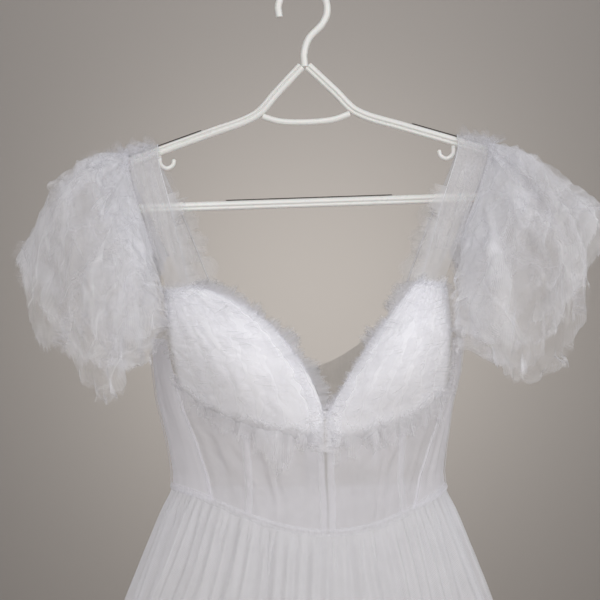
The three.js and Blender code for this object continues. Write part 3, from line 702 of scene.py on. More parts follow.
def bone_top(name, degrees):
    """The height of a boned channel's top, just under the cup or under the back's top edge."""
    angle = np.radians(degrees)
    if not name.startswith("front"):
        return float(back_top_z(abs(CENTRE_BACK - angle % (2 * np.pi)))) - 5
    cup = CUPS["left" if degrees < 7 else "right"]
    edge = cup_edge(cup, "low", np.linspace(0, 1, 60))
    nearest = np.abs(front_angle(*edge.T) - angle).argmin()
    return edge[nearest, 1] - 3


def build_seams():
    for name, (degrees, half) in CHANNELS.items():
        angle = np.radians(degrees)
        low = float(waist_z(angle)) + 2
        channel(name, angle, angle, bone_top(name, degrees), low, half, [f"boning_{name}"])
    for name, cup in CUPS.items():
        x, z = cup["outer_low"]
        middle = cup["side"] * PRINCESS_GAP / 2
        start, stop = front_angle(x, np.float64(z)) + middle, princess_angle(cup) + middle
        channel(f"princess_{name}", start, stop, z, float(waist_z(stop)), SEAM_HALF)
        angle = SIDE_SEAM[name]
        channel(f"side_{name}", angle, angle, UNDERARM_Z - 2, float(waist_z(angle)), SEAM_HALF)

    def waist(u, v):
        angle = 2 * np.pi * u
        puckers = 0.7 * np.sin(150 * angle) * (0.6 + 0.4 * wander(47, u, 30)) * np.sin(np.pi * v)
        z = waist_z(angle) + lerp(3.5, -4.5, v)
        return ring_point(angle, z, 1.0 + 1.3 * np.sin(np.pi * v) + puckers), {"cover": 1.2}

    piece = grid_piece("waist_seam", 600, 5, waist, (0.7, 0.009))
    finish_piece(piece, TULLE_FRILL)


def build_placket():
    """Two folded edges that meet over the concealed zip at the centre back, each held by a line of stitches."""
    def place(u, v):
        z = lerp(BACK_NECK_Z - 1, float(waist_z(CENTRE_BACK)) + 3, v)
        across = lerp(-PLACKET_HALF, PLACKET_HALF, u)
        away = np.abs(across)
        fold = 1.2 * smoothstep(0.0, 1.6, away) * (1 - 0.25 * smoothstep(6.5, PLACKET_HALF, away))
        stitches = 0.35 * bump_line(away, 5.6, 0.5) * (0.6 + 0.4 * np.sin(2 * np.pi * z / STITCH))
        wave = 0.3 * wander_2d(53, u, v, 3, 12)
        return ring_point(CENTRE_BACK + across / ring(z)[1], z, 0.6 + fold - stitches + wave)

    piece = grid_piece("placket", 48, 120, place, (0.018, 0.122))
    finish_piece(piece, TAPE, ["back_placket"])


def build_bodice():
    for name, cup in CUPS.items():
        seed = 10 if cup["side"] < 0 else 20
        front = panel(
            f"front_panel_{name}", *front_lines(name), [f"bodice_front_{name}"], TULLE_SHEER, seed=seed, folds=4,
            out=0.4, cover=FRONT_COVER[name],
        )
        side = grid_piece(f"side_panel_{name}", 40, 60, side_grid(name), (0.07, 0.16))
        finish_piece(side, TULLE_SHEER, [f"bodice_side_{name}"])
        # The back panels take the greige tulle, whose darker colour is painted shade.
        back = panel(
            f"back_panel_{name}", *back_lines(name), [f"bodice_back_{name}"], TULLE_BACK_PAINTED_SHADE, seed=seed + 3, folds=6,
            columns=90,
        )


# ------------------------------------------------------------------ cups and their frills
RISE_SPREAD = 34  # degrees by which a wing rises more or less along its length
FRILL_CLEAR = 0.7  # millimetres from the cloth to a frill's stitch line
RUCHES = 7.0  # ridges of the gathered tulle across each cup
FRILL_ROWS, FRILL_NODES = 7, 4  # rows of frill down each cup, and the pieces that they are sewn on as
CUP_FRILL = dict(wide=19, ripple=2.6, stand=26, columns=130, ragged=0.7, fade=0.5, dense=0.7)
OUTER_WING = dict(wide=13, stand=24, fade=1.4, dense=1.4)  # the wing that shows at a cup's outer edge
NECK_WING = dict(wide=14, stand=40, fade=1.3, dense=1.2)  # and the one at its neckline
NECK_ROLL = dict(at=0.955, half=5.2, high=4.2)  # the soft rolled band along each neckline
NECK_FRINGE = dict(wide=12, waves=21, ripple=1.8, columns=190, rows=3, ragged=0.8, fade=1.7, dense=2.6)
# Wings of the frills round each cup: where they are stitched, side, width in millimetres and rise in degrees.
HEM_WINGS = [
    ("low", 1, 34, 4), ("low", 1, 22, 14), ("low", -1, 14, 16), ("centre", 1, 10, 24), ("centre", -1, 14, 16),
    ("top", 1, 13, 12), ("top", 1, 9, 40), ("top", -1, 12, 14),
]
HEM_FRILL = dict(ripple=3.6, rows=6, ragged=0.6, fade=0.5, dense=1.3)
CENTRE_FRILL = dict(waves=3, ripple=2.2, columns=60, rows=5, ragged=0.3, fade=0.2)


def build_cup(name, cup):
    """A cup under close ruching that runs parallel to the neckline."""
    seed = 51 + cup["side"]

    def place(u, v):
        across = turned(u, cup["side"] > 0)
        point, out, _, _ = cup_frame(cup, across, v)
        phase = np.pi * (RUCHES * across + 0.9 * wander_2d(seed, across, v, 4, 6))
        held = np.clip(np.minimum(across, 1 - across) / 0.06, 0, 1) * np.clip(np.minimum(v, 1 - v) / 0.05, 0, 1)
        ridge = 0.6 * np.sin(phase) ** 2 * (0.7 + 0.5 * wander_2d(seed + 1, across, v, 6, 8))
        pucker = 0.35 * wander_2d(seed + 2, across, v, 11, 16) + 0.2 * wander_2d(seed + 3, across, v, 24, 30)
        soft_edge = smoothstep(-0.02, 0.1, np.minimum(across, 1 - v)) * smoothstep(0.0, 0.14, across + v)
        return point + out * (0.4 + held * (1.2 + ridge + pucker))[:, None], {"cover": soft_edge}

    piece = grid_piece(f"cup_shell_{name}", 120, 120, place, (0.15, 0.17))
    finish_piece(piece, CUP_CLOTH, [f"cup_{name}"])


def frill_wing(
    name, line, seed, wing, wide, waves, ripple, stand, ragged, fade, columns=200, rows=4, width=None, dense=1.25
):
    """One wing of a gathered raw-edged strip, from its stitch line to its free edge.

    line(t) gives the stitch line, the way out of the cloth under it and the way across it. The wing rises at the
    angle stand, more or less along its length, and folds back on itself in waves that grow to the free edge, where
    the net thins from dense to fade. width(t) narrows it along its length, and ragged is how uneven its edge is.
    """
    def place(u, v):
        base, out, across = line(u)
        along = unit(np.cross(out, across))
        rise = np.radians(np.clip(stand + RISE_SPREAD * wander(seed + 5, u, waves * 0.4), 2, 105))[:, None]
        lean = across * wing * np.cos(rise) + out * np.sin(rise)
        normal = out * np.cos(rise) - across * wing * np.sin(rise)
        phase = 2 * np.pi * waves * (u + 1.0 / waves * wander(seed, u, waves * 0.5))
        size = ripple * (0.15 + 0.85 * v) * np.clip(1 + 0.7 * wander(seed + 7, u, waves * 0.6), 0.1, 2)
        ends = 1 if width is None else width(u)
        uneven = wander(seed + 3, u, waves * 0.6) + 0.5 * wander(seed + 4, u, waves * 2)
        reach = wide * ends * np.clip(1 + ragged * uneven, 0.2, 1.7)
        curl = 0.35 * wander_2d(seed + 11, u, v, waves, 2) * ripple * v
        placed = base + lean * (v * reach)[:, None] + normal * (size * np.sin(phase) + curl)[:, None]
        placed = placed + along * (0.75 * size * np.sin(2 * phase + 0.6))[:, None] + out * FRILL_CLEAR
        return placed, {"edge": (1 - v) * reach * MM, "cover": lerp(dense, fade, v**1.3)}

    return grid_piece(name, columns, rows, place, (waves * 0.02, wide * MM))


def cup_line(cup, u, start=0.0, end=1.0):
    """A stitch line down a cup, roughly parallel to the neckline, that wanders as hand-laid ruching does."""
    def line(t):
        v = lerp(start, end, t)
        slack = u + 0.02 * wander(int(1000 * u) + cup["side"], t, 7)
        return cup_frame(cup, slack, v)[:3]

    return line


def build_cup_frills(name, cup):
    """Rows of gathered strip, each stitched down its middle, so that a wing stands up on both sides of it."""
    for node in range(FRILL_NODES):
        rows = [row for row in range(FRILL_ROWS) if int(row / (FRILL_ROWS / FRILL_NODES)) == node]
        strips = []
        for row in rows:
            line = cup_line(cup, lerp(0.05, 0.9, row / (FRILL_ROWS - 1)))
            for wing in (1, -1):
                seed = 100 + 20 * row + 7 * cup["side"] + wing
                special = {(FRILL_ROWS - 1, 1): NECK_WING, (0, -1): OUTER_WING}.get((row, wing), {})
                sizes = {**CUP_FRILL, **special}
                strips.append(frill_wing(f"wing_{name}_{row}_{wing}", line, seed, wing, waves=9 + row % 3, **sizes))
        if node == FRILL_NODES - 1:
            strips += neckline_trim(name, cup)
        piece = joined(f"cup_frill_rows_{name}_{node + 1}", strips)
        finish_piece(piece, TULLE_CUP, [f"cup_frill_{name}_{node + 1}"])


def neckline_trim(name, cup):
    """The soft roll along the neckline, and the short frayed fringe outside it."""
    def place(u, v):
        point, out, to_neck = cup_line(cup, NECK_ROLL["at"], 0.03, 0.85)(v)
        turn = np.pi * (1.15 * u - 0.075)
        uneven = 1 + 0.22 * wander(31 + cup["side"], v, 16)
        puckers = 0.5 * wander_2d(33, u, v, 4, 40)
        side = -np.cos(turn) * NECK_ROLL["half"]
        high = np.sin(turn) * NECK_ROLL["high"] * uneven + puckers
        return point + to_neck * side[:, None] + out * (high + 0.8)[:, None], {"cover": 0.9}

    roll = grid_piece(f"neck_roll_{name}", 10, 120, place, (0.016, 0.16))
    line = cup_line(cup, 0.985, 0.02, 0.87)
    seed = 72 + cup["side"]
    fringe = [frill_wing(f"fringe_{name}", line, seed, 1, stand=stand, **NECK_FRINGE) for stand in (15, 60)]
    return [roll, *fringe]


def build_cup_hem(name, cup):
    """Soft frills over the seam under each cup, down the centre front and across its top."""
    def low(t):
        point, out, _, down = cup_frame(cup, lerp(0.02, 0.99, t), 0.945)
        return point, out, down

    def top(t):
        point, out, _, down = cup_frame(cup, lerp(0.03, 0.97, t), 0.04)
        return point, out, -down

    def centre(t):
        return cup_frame(cup, 0.975, lerp(0.84, 1.03, t))[:3]

    lines = {"low": low, "top": top, "centre": centre}
    strips = []
    for number, (where, wing, wide, stand) in enumerate(HEM_WINGS):
        waves, columns = (9, 130) if where == "low" else (4, 60)
        seed = 81 + 3 * number + cup["side"]
        strips.append(
            frill_wing(
                f"hem_{name}_{number}", lines[where], seed, wing, wide=wide, waves=waves, stand=stand,
                columns=columns, **HEM_FRILL,
            )
        )
    piece = joined(f"cup_hem_frill_{name}", strips)
    finish_piece(piece, TULLE_HEM)


def build_centre_gather():
    """The gathers over the seam between the cups, from the point of the neckline down to the bodice."""
    def line(t):
        point = ring_point(CENTRE_FRONT, lerp(-418, -458, t), 3.0)
        along = np.broadcast_to(np.array([0.0, 0.0, -1.0]), point.shape)
        out = unit(ring_point(CENTRE_FRONT, point[:, 2], 4.0) - point)
        return point, out, unit(np.cross(along, out))

    strips = [
        frill_wing(f"centre_{wing}", line, 640 + wing + wide, wing, wide=wide, stand=stand, **CENTRE_FRILL)
        for wide, stand in ((14, 4), (8, 22))
        for wing in (1, -1)
    ]
    piece = joined("centre_gather", strips)
    finish_piece(piece, TULLE_HEM)


# ------------------------------------------------------------------ straps
CORD_RADIUS = 0.45
STRAP_FRILL = dict(wide=19, waves=5, ripple=2.4, stand=6, columns=110, rows=8, ragged=0.1, fade=0.3)


def strap_frame(name, t, offset):
    """A strap's point, the way out of it and the way across it, outward from the neck."""
    step = 0.01
    point = strap_point(name, t, offset)
    across = unit(strap_point(name, t, offset + 1) - strap_point(name, t, offset - 1))
    before, after = np.maximum(t - step, 0), np.minimum(t + step, 1)
    along = unit(strap_point(name, after, offset) - strap_point(name, before, offset))
    return point, unit(np.cross(along, across)) * -CUPS[name]["side"], across


def strap_cord(name):
    """The thin cord that is sewn into a strap's inner edge."""
    def path(t):
        return strap_point(name, lerp(0.004, 0.996, t), 0.6 - STRAP_HALF)

    def place(u, v):
        along = unit(path(np.minimum(v + 0.01, 1)) - path(np.maximum(v - 0.01, 0)))
        side = unit(np.cross(along, np.array([0.0, 1.0, 0.2])))
        up = np.cross(side, along)
        turn = 2 * np.pi * u
        size = CORD_RADIUS * np.sqrt(np.clip(np.minimum(v, 1 - v) / 0.006, 0, 1))
        return path(v) + side * (size * np.cos(turn))[:, None] + up * (size * np.sin(turn))[:, None]

    piece = grid_piece(f"strap_cord_{name}", 6, 90, place, (0.003, 0.33), welded=True)
    finish_piece(piece, CORD)


def build_strap(name):
    """A sheer strap of two plies, drawn as one sheet, with a corded inner edge, and a scalloped frill on the neck
    side of each end.
    """
    def place(u, v):
        point, out, _ = strap_frame(name, v, lerp(-STRAP_HALF, STRAP_HALF, u))
        end = np.minimum(v, 1 - v)
        loose = smoothstep(0.0, 0.1, end) * (1 - smoothstep(0.2, 0.26, end))
        gather = 0.7 * np.sin(2 * np.pi * 3 * u + 3 * wander(3, v, 6)) + 1.5 * wander_2d(17, u, v, 3, 12)
        return point + out * (gather * loose)[:, None], {"cover": 1.15}

    piece = grid_piece(f"strap_band_{name}", 20, 120, place, (0.03, 0.34))
    finish_piece(piece, TULLE_VEIL, [f"strap_{name}"])
    strap_cord(name)
    for end, (start, stop) in (("front", (0.0, 0.17)), ("back", (1.0, 0.83))):
        def line(t, start=start, stop=stop):
            return strap_frame(name, lerp(start, stop, t), 1 - STRAP_HALF)

        wing = frill_wing(
            f"strap_scallops_{name}_{end}", line, 60 + len(end), -1,
            width=lambda t: 0.6 + 0.4 * np.abs(np.sin(np.pi * (4 * t + 0.3))), **STRAP_FRILL,
        )
        finish_piece(wing, TULLE_VEIL, [f"strap_frill_{name}_{end}"])


# ------------------------------------------------------------------ sleeves
# Plies of a sleeve, outermost first: reach along its length, how uneven that is, rise off its smooth shape, folds
# and their height, the hem's ripple, how densely it lies, and which of the sleeve's two flounces it is part of.
SLEEVE_PLIES = [
    dict(reach=1.0, lobes=0.08, rise=-2.0, folds=6, height=9, hem=4.0, cover=1.0, node="lower"),
    dict(reach=0.95, lobes=0.1, rise=-9.0, folds=8, height=8, hem=4.5, cover=1.0, node="lower"),
    dict(reach=0.78, lobes=0.2, rise=-6.0, folds=5, height=8, hem=5.0, cover=0.9, node="lower"),
    dict(reach=0.56, lobes=0.25, rise=-4.0, folds=7, height=6, hem=5.0, cover=0.9, node="upper"),
    dict(reach=0.34, lobes=0.25, rise=-3.0, folds=9, height=5, hem=5.0, cover=0.8, node="upper"),
]
# Main creases of each sleeve: where around it, from and to along its length, lean, height and width.
SLEEVE_CREASES = {
    "left": [
        (0.30, 0.05, 0.6, 0.10, 9, 0.020), (0.22, 0.05, 0.8, 0.10, 8, 0.016), (0.16, 0.2, 0.95, 0.05, -8, 0.022),
        (0.37, 0.1, 0.7, 0.06, -9, 0.020), (0.08, 0.25, 0.9, 0.04, 8, 0.018), (0.44, 0.05, 0.8, 0.0, 8, 0.020),
        (0.27, 0.45, 0.95, 0.03, -9, 0.018), (0.58, 0.1, 0.8, -0.03, 9, 0.02), (0.68, 0.1, 0.9, -0.05, -8, 0.022),
        (0.78, 0.2, 0.9, -0.06, 8, 0.018), (0.88, 0.2, 0.9, -0.03, -8, 0.02),
    ],
    "right": [
        (0.12, 0.1, 0.9, -0.02, 9, 0.018), (0.19, 0.3, 0.75, 0.08, 8, 0.014), (0.27, 0.05, 0.6, 0.05, -9, 0.022),
        (0.31, 0.3, 0.9, 0.06, 9, 0.016), (0.39, 0.05, 0.7, 0.06, 8, 0.02), (0.23, 0.55, 0.98, 0.02, -8, 0.024),
        (0.47, 0.1, 0.8, 0.0, -8, 0.02), (0.57, 0.1, 0.8, -0.03, 9, 0.02), (0.67, 0.1, 0.9, -0.05, -8, 0.022),
        (0.77, 0.2, 0.9, -0.06, 8, 0.018), (0.87, 0.2, 0.9, -0.03, -8, 0.02),
    ],
}
# Ruffled ridges that run over the front of each sleeve, and again over its back, as points of (u, v).
SLEEVE_RIDGES = {
    "left": [
        [(0.43, 0.02), (0.38, 0.14), (0.39, 0.3), (0.42, 0.57)],
        [(0.14, 0.03), (0.21, 0.27), (0.3, 0.48), (0.4, 0.74)],
        [(0.1, 0.05), (0.16, 0.34), (0.26, 0.58), (0.34, 0.83)],
        [(0.49, 0.87), (0.45, 0.9), (0.44, 0.98)],
        [(0.29, 0.77), (0.31, 0.88), (0.33, 0.95)],
        [(0.09, 0.31), (0.13, 0.65), (0.18, 0.88), (0.21, 0.97)],
    ],
    "right": [
        [(0.3, 0.03), (0.29, 0.15), (0.32, 0.33), (0.34, 0.49), (0.43, 0.73), (0.48, 0.91)],
        [(0.14, 0.07), (0.21, 0.29), (0.28, 0.46), (0.31, 0.61), (0.33, 0.75)],
        [(0.1, 0.15), (0.1, 0.36), (0.08, 0.6), (0.06, 0.8), (0.08, 0.96)],
        [(0.15, 0.46), (0.2, 0.57), (0.28, 0.69)],
        [(0.34, 0.8), (0.33, 0.89), (0.32, 0.96)],
    ],
}
# Where a fold laps over the cloth beside it: the side that it lies on, its width in millimetres, how much thicker
# it makes the cloth, and its crisp edge as points of (u, v). The back of the sleeve has the same laps.
SLEEVE_LAPS = {
    "left": [
        (1, 16, 1.2, (0.48, 0.52), (0.45, 0.38), (0.38, 0.25), (0.3, 0.18), (0.24, 0.16)),
        (1, 15, 0.9, (0.29, 0.23), (0.3, 0.31), (0.34, 0.45), (0.4, 0.6), (0.43, 0.73)),
        (1, 30, 1.5, (0.17, 0.23), (0.21, 0.4), (0.24, 0.54), (0.27, 0.67), (0.29, 0.76)),
        (1, 10, 0.6, (0.14, 0.47), (0.14, 0.61), (0.16, 0.75), (0.18, 0.87)),
        (-1, 9, 1.0, (0.51, 0.86), (0.43, 0.87), (0.43, 0.96)),
        (-1, 12, 0.9, (0.35, 0.72), (0.38, 0.85), (0.39, 0.94)),
        (1, 14, 0.9, (0.29, 0.77), (0.31, 0.88), (0.33, 0.95)),
    ],
    "right": [
        (-1, 14, 1.3, (0.08, 0.03), (0.07, 0.2), (0.1, 0.43), (0.06, 0.59), (0.07, 0.85), (0.11, 1.0)),
        (1, 14, 1.1, (0.17, 0.39), (0.15, 0.53), (0.14, 0.67), (0.14, 0.83), (0.14, 0.99)),
        (-1, 14, 1.2, (0.27, 0.31), (0.32, 0.47), (0.35, 0.59), (0.41, 0.71), (0.49, 0.91)),
        (-1, 24, 1.1, (0.11, 0.18), (0.18, 0.32), (0.22, 0.4), (0.27, 0.49), (0.3, 0.59)),
        (1, 3, 0.8, (0.15, 0.52), (0.21, 0.62), (0.28, 0.71), (0.33, 0.81)),
        (1, 15, 1.1, (0.29, 0.57), (0.32, 0.66), (0.36, 0.76), (0.38, 0.84), (0.42, 0.95)),
        (1, 7, 1.0, (0.32, 0.73), (0.34, 0.82), (0.34, 0.88), (0.32, 0.92)),
    ],
}
# Where the cloth lies thicker or thinner: (u, v), the reach each way, and how much.
SLEEVE_THICKNESS = {
    "left": [
        (0.3, 0.35, 0.06, 0.09, -0.5), (0.33, 0.74, 0.035, 0.06, -0.4), (0.35, 0.87, 0.03, 0.05, -0.4),
        (0.47, 0.85, 0.08, 0.3, 0.6), (0.12, 0.6, 0.08, 0.28, 0.4), (0.04, 0.65, 0.05, 0.26, 0.6),
        (0.06, 0.22, 0.06, 0.2, 0.6), (0.2, 0.88, 0.06, 0.12, 0.2),
    ],
    "right": [
        (0.23, 0.72, 0.06, 0.2, -0.45), (0.22, 0.53, 0.05, 0.08, -0.35), (0.39, 0.75, 0.045, 0.07, -0.5),
        (0.47, 0.85, 0.09, 0.3, 0.8), (0.42, 0.3, 0.1, 0.25, -0.35), (0.12, 0.68, 0.035, 0.3, 0.4),
        (0.04, 0.65, 0.05, 0.26, 0.7), (0.07, 0.25, 0.06, 0.16, 0.5),
    ],
}
FRONT_FLARE = 18  # how far the front edge of each ply turns in toward the bodice, in millimetres
SLEEVE_ROUND, SLEEVE_LONG = 420, 230  # a sleeve's rough length round its strap and down to its hem, in millimetres
# Rows of the fluffy gathered head of each sleeve: how many millimetres each lies outward from the strap's middle.
HEAD_ROWS = (-8, 2, 12, 23)
HEAD_FRILL = dict(wide=19, waves=8, ripple=5.5, stand=32, rows=5, ragged=0.22, fade=0.25)
INNER_HEAD = dict(wide=14, stand=16)  # its lowest wing, which lies over the strap
RIDGE_FRILL = dict(wide=15, ripple=4.5, stand=38, rows=5, ragged=0.6, fade=0.15)
RIDGE_WAVE = 19  # millimetres along a ridge to each of its waves
HEM_BAND, HEM_WAVES = 30, 14  # how far up from the hem the small waves start, and how many there are


def creases(name, s, v):
    """The height of a sleeve's listed creases."""
    total = np.zeros_like(s)
    for at, start, stop, lean, height, width in SLEEVE_CREASES[name]:
        share = np.clip((v - start) / (stop - start), 0, 1)
        held = arch(share, 0.7) * (v > start) * (v < stop)
        total += height * held * bump_line(s, at + lean * share, width * (0.7 + 0.6 * share))
    return total


def lap_bands(name, s, v):
    """How much thicker the cloth lies over a sleeve because of the folds that lap over it."""
    at = np.stack([np.minimum(s, 1 - s) * SLEEVE_ROUND, v * SLEEVE_LONG], -1)
    every = np.arange(len(s))
    total = np.zeros_like(s)
    for side, wide, gain, *points in SLEEVE_LAPS[name]:
        path = smooth_path([(u * SLEEVE_ROUND, w * SLEEVE_LONG) for u, w in points], np.linspace(0, 1, 40))
        step = np.diff(path, axis=0)
        offset = at[:, None] - path[:-1]
        share = np.clip((offset * step).sum(-1) / (step**2).sum(-1), 0, 1)
        away = offset - share[..., None] * step
        distance = np.linalg.norm(away, axis=-1)
        near = distance.argmin(1)
        cross = step[near, 0] * away[every, near, 1] - step[near, 1] * away[every, near, 0]
        signed = side * np.sign(cross) * distance[every, near]
        ends = np.sin(np.pi * (near + share[every, near]) / len(step)) ** 0.5
        total += 0.6 * gain * ends * smoothstep(-1.2, 1.2, signed) * (1 - smoothstep(0.25 * wide, wide, signed))
    return total


def thickness(name, s, v):
    total = np.ones_like(s)
    for at_u, at_v, reach_u, reach_v, gain in SLEEVE_THICKNESS[name]:
        total += gain * bump_line(np.minimum(s, 1 - s), at_u, reach_u) * bump_line(v, at_v, reach_v)
    return np.maximum(total, 0.2)


def ply_folds(ply, seed, s, v):
    """A ply's long folds: how far they lift it and how far they sway it along."""
    phase = 2 * np.pi * ply["folds"] * (s + 0.07 * wander_2d(seed + 2, s, v, 7, 2))
    strength = np.clip(0.6 + 0.9 * wander_2d(seed + 3, s, v, 8, 2), 0.0, 1.4)
    size = ply["height"] * strength * (0.1 + 0.9 * v**0.9)
    crumple = 1 - 2.6 * np.sqrt(wander_2d(seed + 5, s, v, 11, 6) ** 2 + 0.012)
    return size * np.sin(phase) + 3.6 * crumple * smoothstep(0, 0.2, v), 0.75 * size * np.sin(2 * phase)


def hem_waves(ply, seed, s, near_hem):
    """The small waves of a ply's raw hem, as lift and sway."""
    phase = 2 * np.pi * HEM_WAVES * (s + 0.03 * wander(seed + 4, s, HEM_WAVES))
    size = ply["hem"] * near_hem * np.clip(0.7 + 0.8 * wander(seed + 6, s, 15), 0, 1.5)
    return size * np.sin(phase), 0.8 * size * np.sin(2 * phase + 0.5)


def sleeve_ply(name, number, ply):
    side = CUPS[name]["side"]
    seed = 200 + 40 * number + 7 * side
    length = SLEEVE_LONG * ply["reach"]

    def place(u, v):
        s = turned(u, side > 0)
        uneven = 1 + ply["lobes"] * wander(seed, s, 6) + 0.05 * wander(seed + 1, s, 18)
        reach = v * ply["reach"] * uneven
        point, out, along, _ = flounce_frame(name, s, np.clip(reach, 0, 1.04))
        near_hem = smoothstep(1 - HEM_BAND / length, 1.0, v)
        fold_lift, fold_sway = ply_folds(ply, seed, s, v)
        hem_lift, hem_sway = hem_waves(ply, seed, s, near_hem)
        laps = lap_bands(name, s, reach) if number == 0 else np.zeros_like(s)
        lift = fold_lift + hem_lift + 0.8 * creases(name, s, reach) + 2.2 * laps
        flare = FRONT_FLARE * (1 - smoothstep(0.0, 0.14, s)) * smoothstep(0.2, 0.7, v)
        sway = fold_sway + hem_sway - flare
        rise = ply["rise"] * smoothstep(0, 0.25, v)
        placed = point + out * (rise + lift)[:, None] + along * sway[:, None]
        gathered = lerp(2.0, 1.1, smoothstep(0.05, 0.5, reach)) + 0.6 * near_hem + laps
        cover = ply["cover"] * (gathered * thickness(name, s, reach))
        return placed, {"edge": (1 - v) * length * MM, "cover": cover}

    rows = 90 if number == 0 else 50
    piece = grid_piece(f"sleeve_{name}_ply_{number + 1}", 300, rows, place, (0.45, length * MM))
    finish_piece(piece, TULLE, [f"sleeve_{name}_{ply['node']}"])


def head_line(name, offset):
    """A stitch line along the sleeve's head, on the strap or on the top of the sleeve beside it."""
    def line(t):
        if offset <= STRAP_HALF:
            return strap_frame(name, lerp(0.06, 0.94, t), offset)
        down = np.full_like(t, (offset - STRAP_HALF) / SLEEVE_LONG)
        point, out, _, across = flounce_frame(name, t, down)
        return point, out, across

    return line


def build_head(name):
    """The rows of fluffy gathered strip at the top of a sleeve, beside its strap."""
    strips = []
    for row, offset in enumerate(HEAD_ROWS):
        line = head_line(name, offset)
        for wing in (1, -1):
            seed = 900 + 30 * row + wing + CUPS[name]["side"]
            sizes, width = HEAD_FRILL, lambda t: 0.45 + 0.55 * arch(t, 1.5)
            if row == 0 and wing < 0:
                sizes, width = {**HEAD_FRILL, **INNER_HEAD}, lambda t: 1 - 0.5 * arch(t, 4)
            strips.append(frill_wing(f"head_{name}_{row}_{wing}", line, seed, wing, width=width, **sizes))
    piece = joined(f"sleeve_head_{name}", strips)
    finish_piece(piece, TULLE_RUCHE, [f"sleeve_{name}_upper"])


def ridge_line(name, path):
    """A ridge's stitch line over the sleeve, a little inside its cloth."""
    def line(t):
        u, v, _ = smooth_path(path, t).T
        point, out, _, _ = flounce_frame(name, u, v)
        u2, v2, _ = smooth_path(path, np.clip(t + 0.02, 0, 1)).T
        u1, v1, _ = smooth_path(path, np.clip(t - 0.02, 0, 1)).T
        along = unit(flounce_point(name, u2, v2) - flounce_point(name, u1, v1))
        return point - out * 2, out, unit(np.cross(along, out))

    return line


def build_ridges(name):
    strips = []
    for number, waypoints in enumerate(SLEEVE_RIDGES[name]):
        for mirrored in (False, True):
            line = ridge_line(name, [(turned(u, mirrored), v, 0) for u, v in waypoints])
            length = np.linalg.norm(np.diff(line(np.linspace(0, 1, 30))[0], axis=0), axis=1).sum()
            for wing in (1, -1):
                strips.append(
                    frill_wing(
                        f"ridge_{name}_{number}", line, 1500 + 20 * number + wing + CUPS[name]["side"], wing,
                        waves=max(3, round(length / RIDGE_WAVE)), columns=int(length * 0.9),
                        width=lambda t: 0.35 + 0.65 * arch(t, 0.6), **RIDGE_FRILL,
                    )
                )
    piece = joined(f"sleeve_ridges_{name}", strips)
    finish_piece(piece, TULLE_RUCHE, [f"sleeve_{name}_lower"])


# ------------------------------------------------------------------ skirt
SKIRT_PLIES = [
    dict(rise=0.0, folds=SKIRT_FOLDS, height=15, cover=1.0),
    dict(rise=-7.0, folds=SKIRT_FOLDS + 3, height=10, cover=1.0),
]


def build_skirt():
    left, right = SIDE_SEAM["left"], SIDE_SEAM["right"]
    halves = {"front": (left, right), "back": (right, left + 2 * np.pi)}
    for half, (start, end) in halves.items():
        for number, ply in enumerate(SKIRT_PLIES):
            seed = 400 + 20 * number + len(half)

            def place(u, v, ply=ply, seed=seed, start=start, end=end):
                angle = lerp(start, end, u)
                drift = 1.6 * wander_2d(seed, u, v, 7, 3) * smoothstep(0, 0.2, v)
                phase = 2 * np.pi * ply["folds"] * u + drift
                seam = smoothstep(0, 0.03, np.minimum(u, 1 - u))
                strength = 0.75 + 0.4 * wander_2d(seed + 1, u, v, 12, 2)
                fine = np.sin(phase * 3 + 2 * wander(seed + 2, u, 20)) * (1 - smoothstep(0.05, 0.5, v))
                lift = lerp(1.1, ply["height"], v**0.8) * np.sin(phase) * strength * seam
                lift = lift + 2.2 * fine * smoothstep(0, 0.04, v) * seam + ply["rise"] * smoothstep(0, 0.1, v)
                gathered = lerp(1.5, 1.0, smoothstep(0, 0.3, v))
                return skirt_point(angle, v, lift), {
                    "edge": (1 - v) * SKIRT_LENGTH * MM,
                    "cover": ply["cover"] * gathered,
                }

            piece = grid_piece(f"skirt_{half}_ply_{number + 1}", 300, 60, place, (0.75, 0.62))
            finish_piece(piece, TULLE_SKIRT, [f"skirt_{half}"])


# ------------------------------------------------------------------ hanger
GROOVE_TURN = 0.22  # how far round the tube, above its front, the groove of the mould lies
BAR_COLLARS = (-128, 133)  # where the bar's raised collars are along it
TUBE_END = 0.03  # the share of a tube's rows that rounds off each of its ends


def tube(name, route, deep, high, segments=28, stations=90, groove=0.0, collars=()):
    """A moulded tube along a route in the hanger's own plane, with rounded ends and a shallow groove in front."""
    path = np.array([(x, 0, z) for x, z in route], float)

    def place(u, v):
        share = np.clip((v - TUBE_END) / (1 - 2 * TUBE_END), 0, 1)
        centre = smooth_path(path, share)
        ahead, behind = np.clip(share + 0.004, 0, 1), np.clip(share - 0.004, 0, 1)
        tangent = unit(smooth_path(path, ahead) - smooth_path(path, behind))
        up = np.cross(np.array([0, 1, 0]), tangent)
        turn = 2 * np.pi * u
        end = np.clip(np.minimum(v, 1 - v) / TUBE_END, 0, 1)
        size = np.sqrt(np.clip(1 - (1 - end) ** 2, 0, 1))
        push = np.where(v < 0.5, -1, 1) * (1 - end) * 1.2
        notch = 1 - groove * bump_line(turn, np.pi + GROOVE_TURN, 0.2)
        x = centre[:, 0]
        for at in collars:
            size = size * (1 + 0.11 * bump_line(x, at, 1.6) - 0.12 * bump_line(x, at + 2.6, 0.9))
        placed = centre + tangent * push[:, None]
        placed = placed + np.array([0, 1, 0]) * (deep / 2 * np.cos(turn) * size * notch)[:, None]
        placed = placed - up * (high / 2 * np.sin(turn) * size)[:, None]
        return tilted(*placed.T).T

    piece = grid_piece(name, segments, stations, place, (0.03, 0.4), welded=True)
    return finish_piece(piece, PLASTIC, [f"hanger_{name}"])


def on_circle(x, z, radius, degrees):
    turn = np.radians(degrees)
    return x + radius * np.cos(turn), z + radius * np.sin(turn)


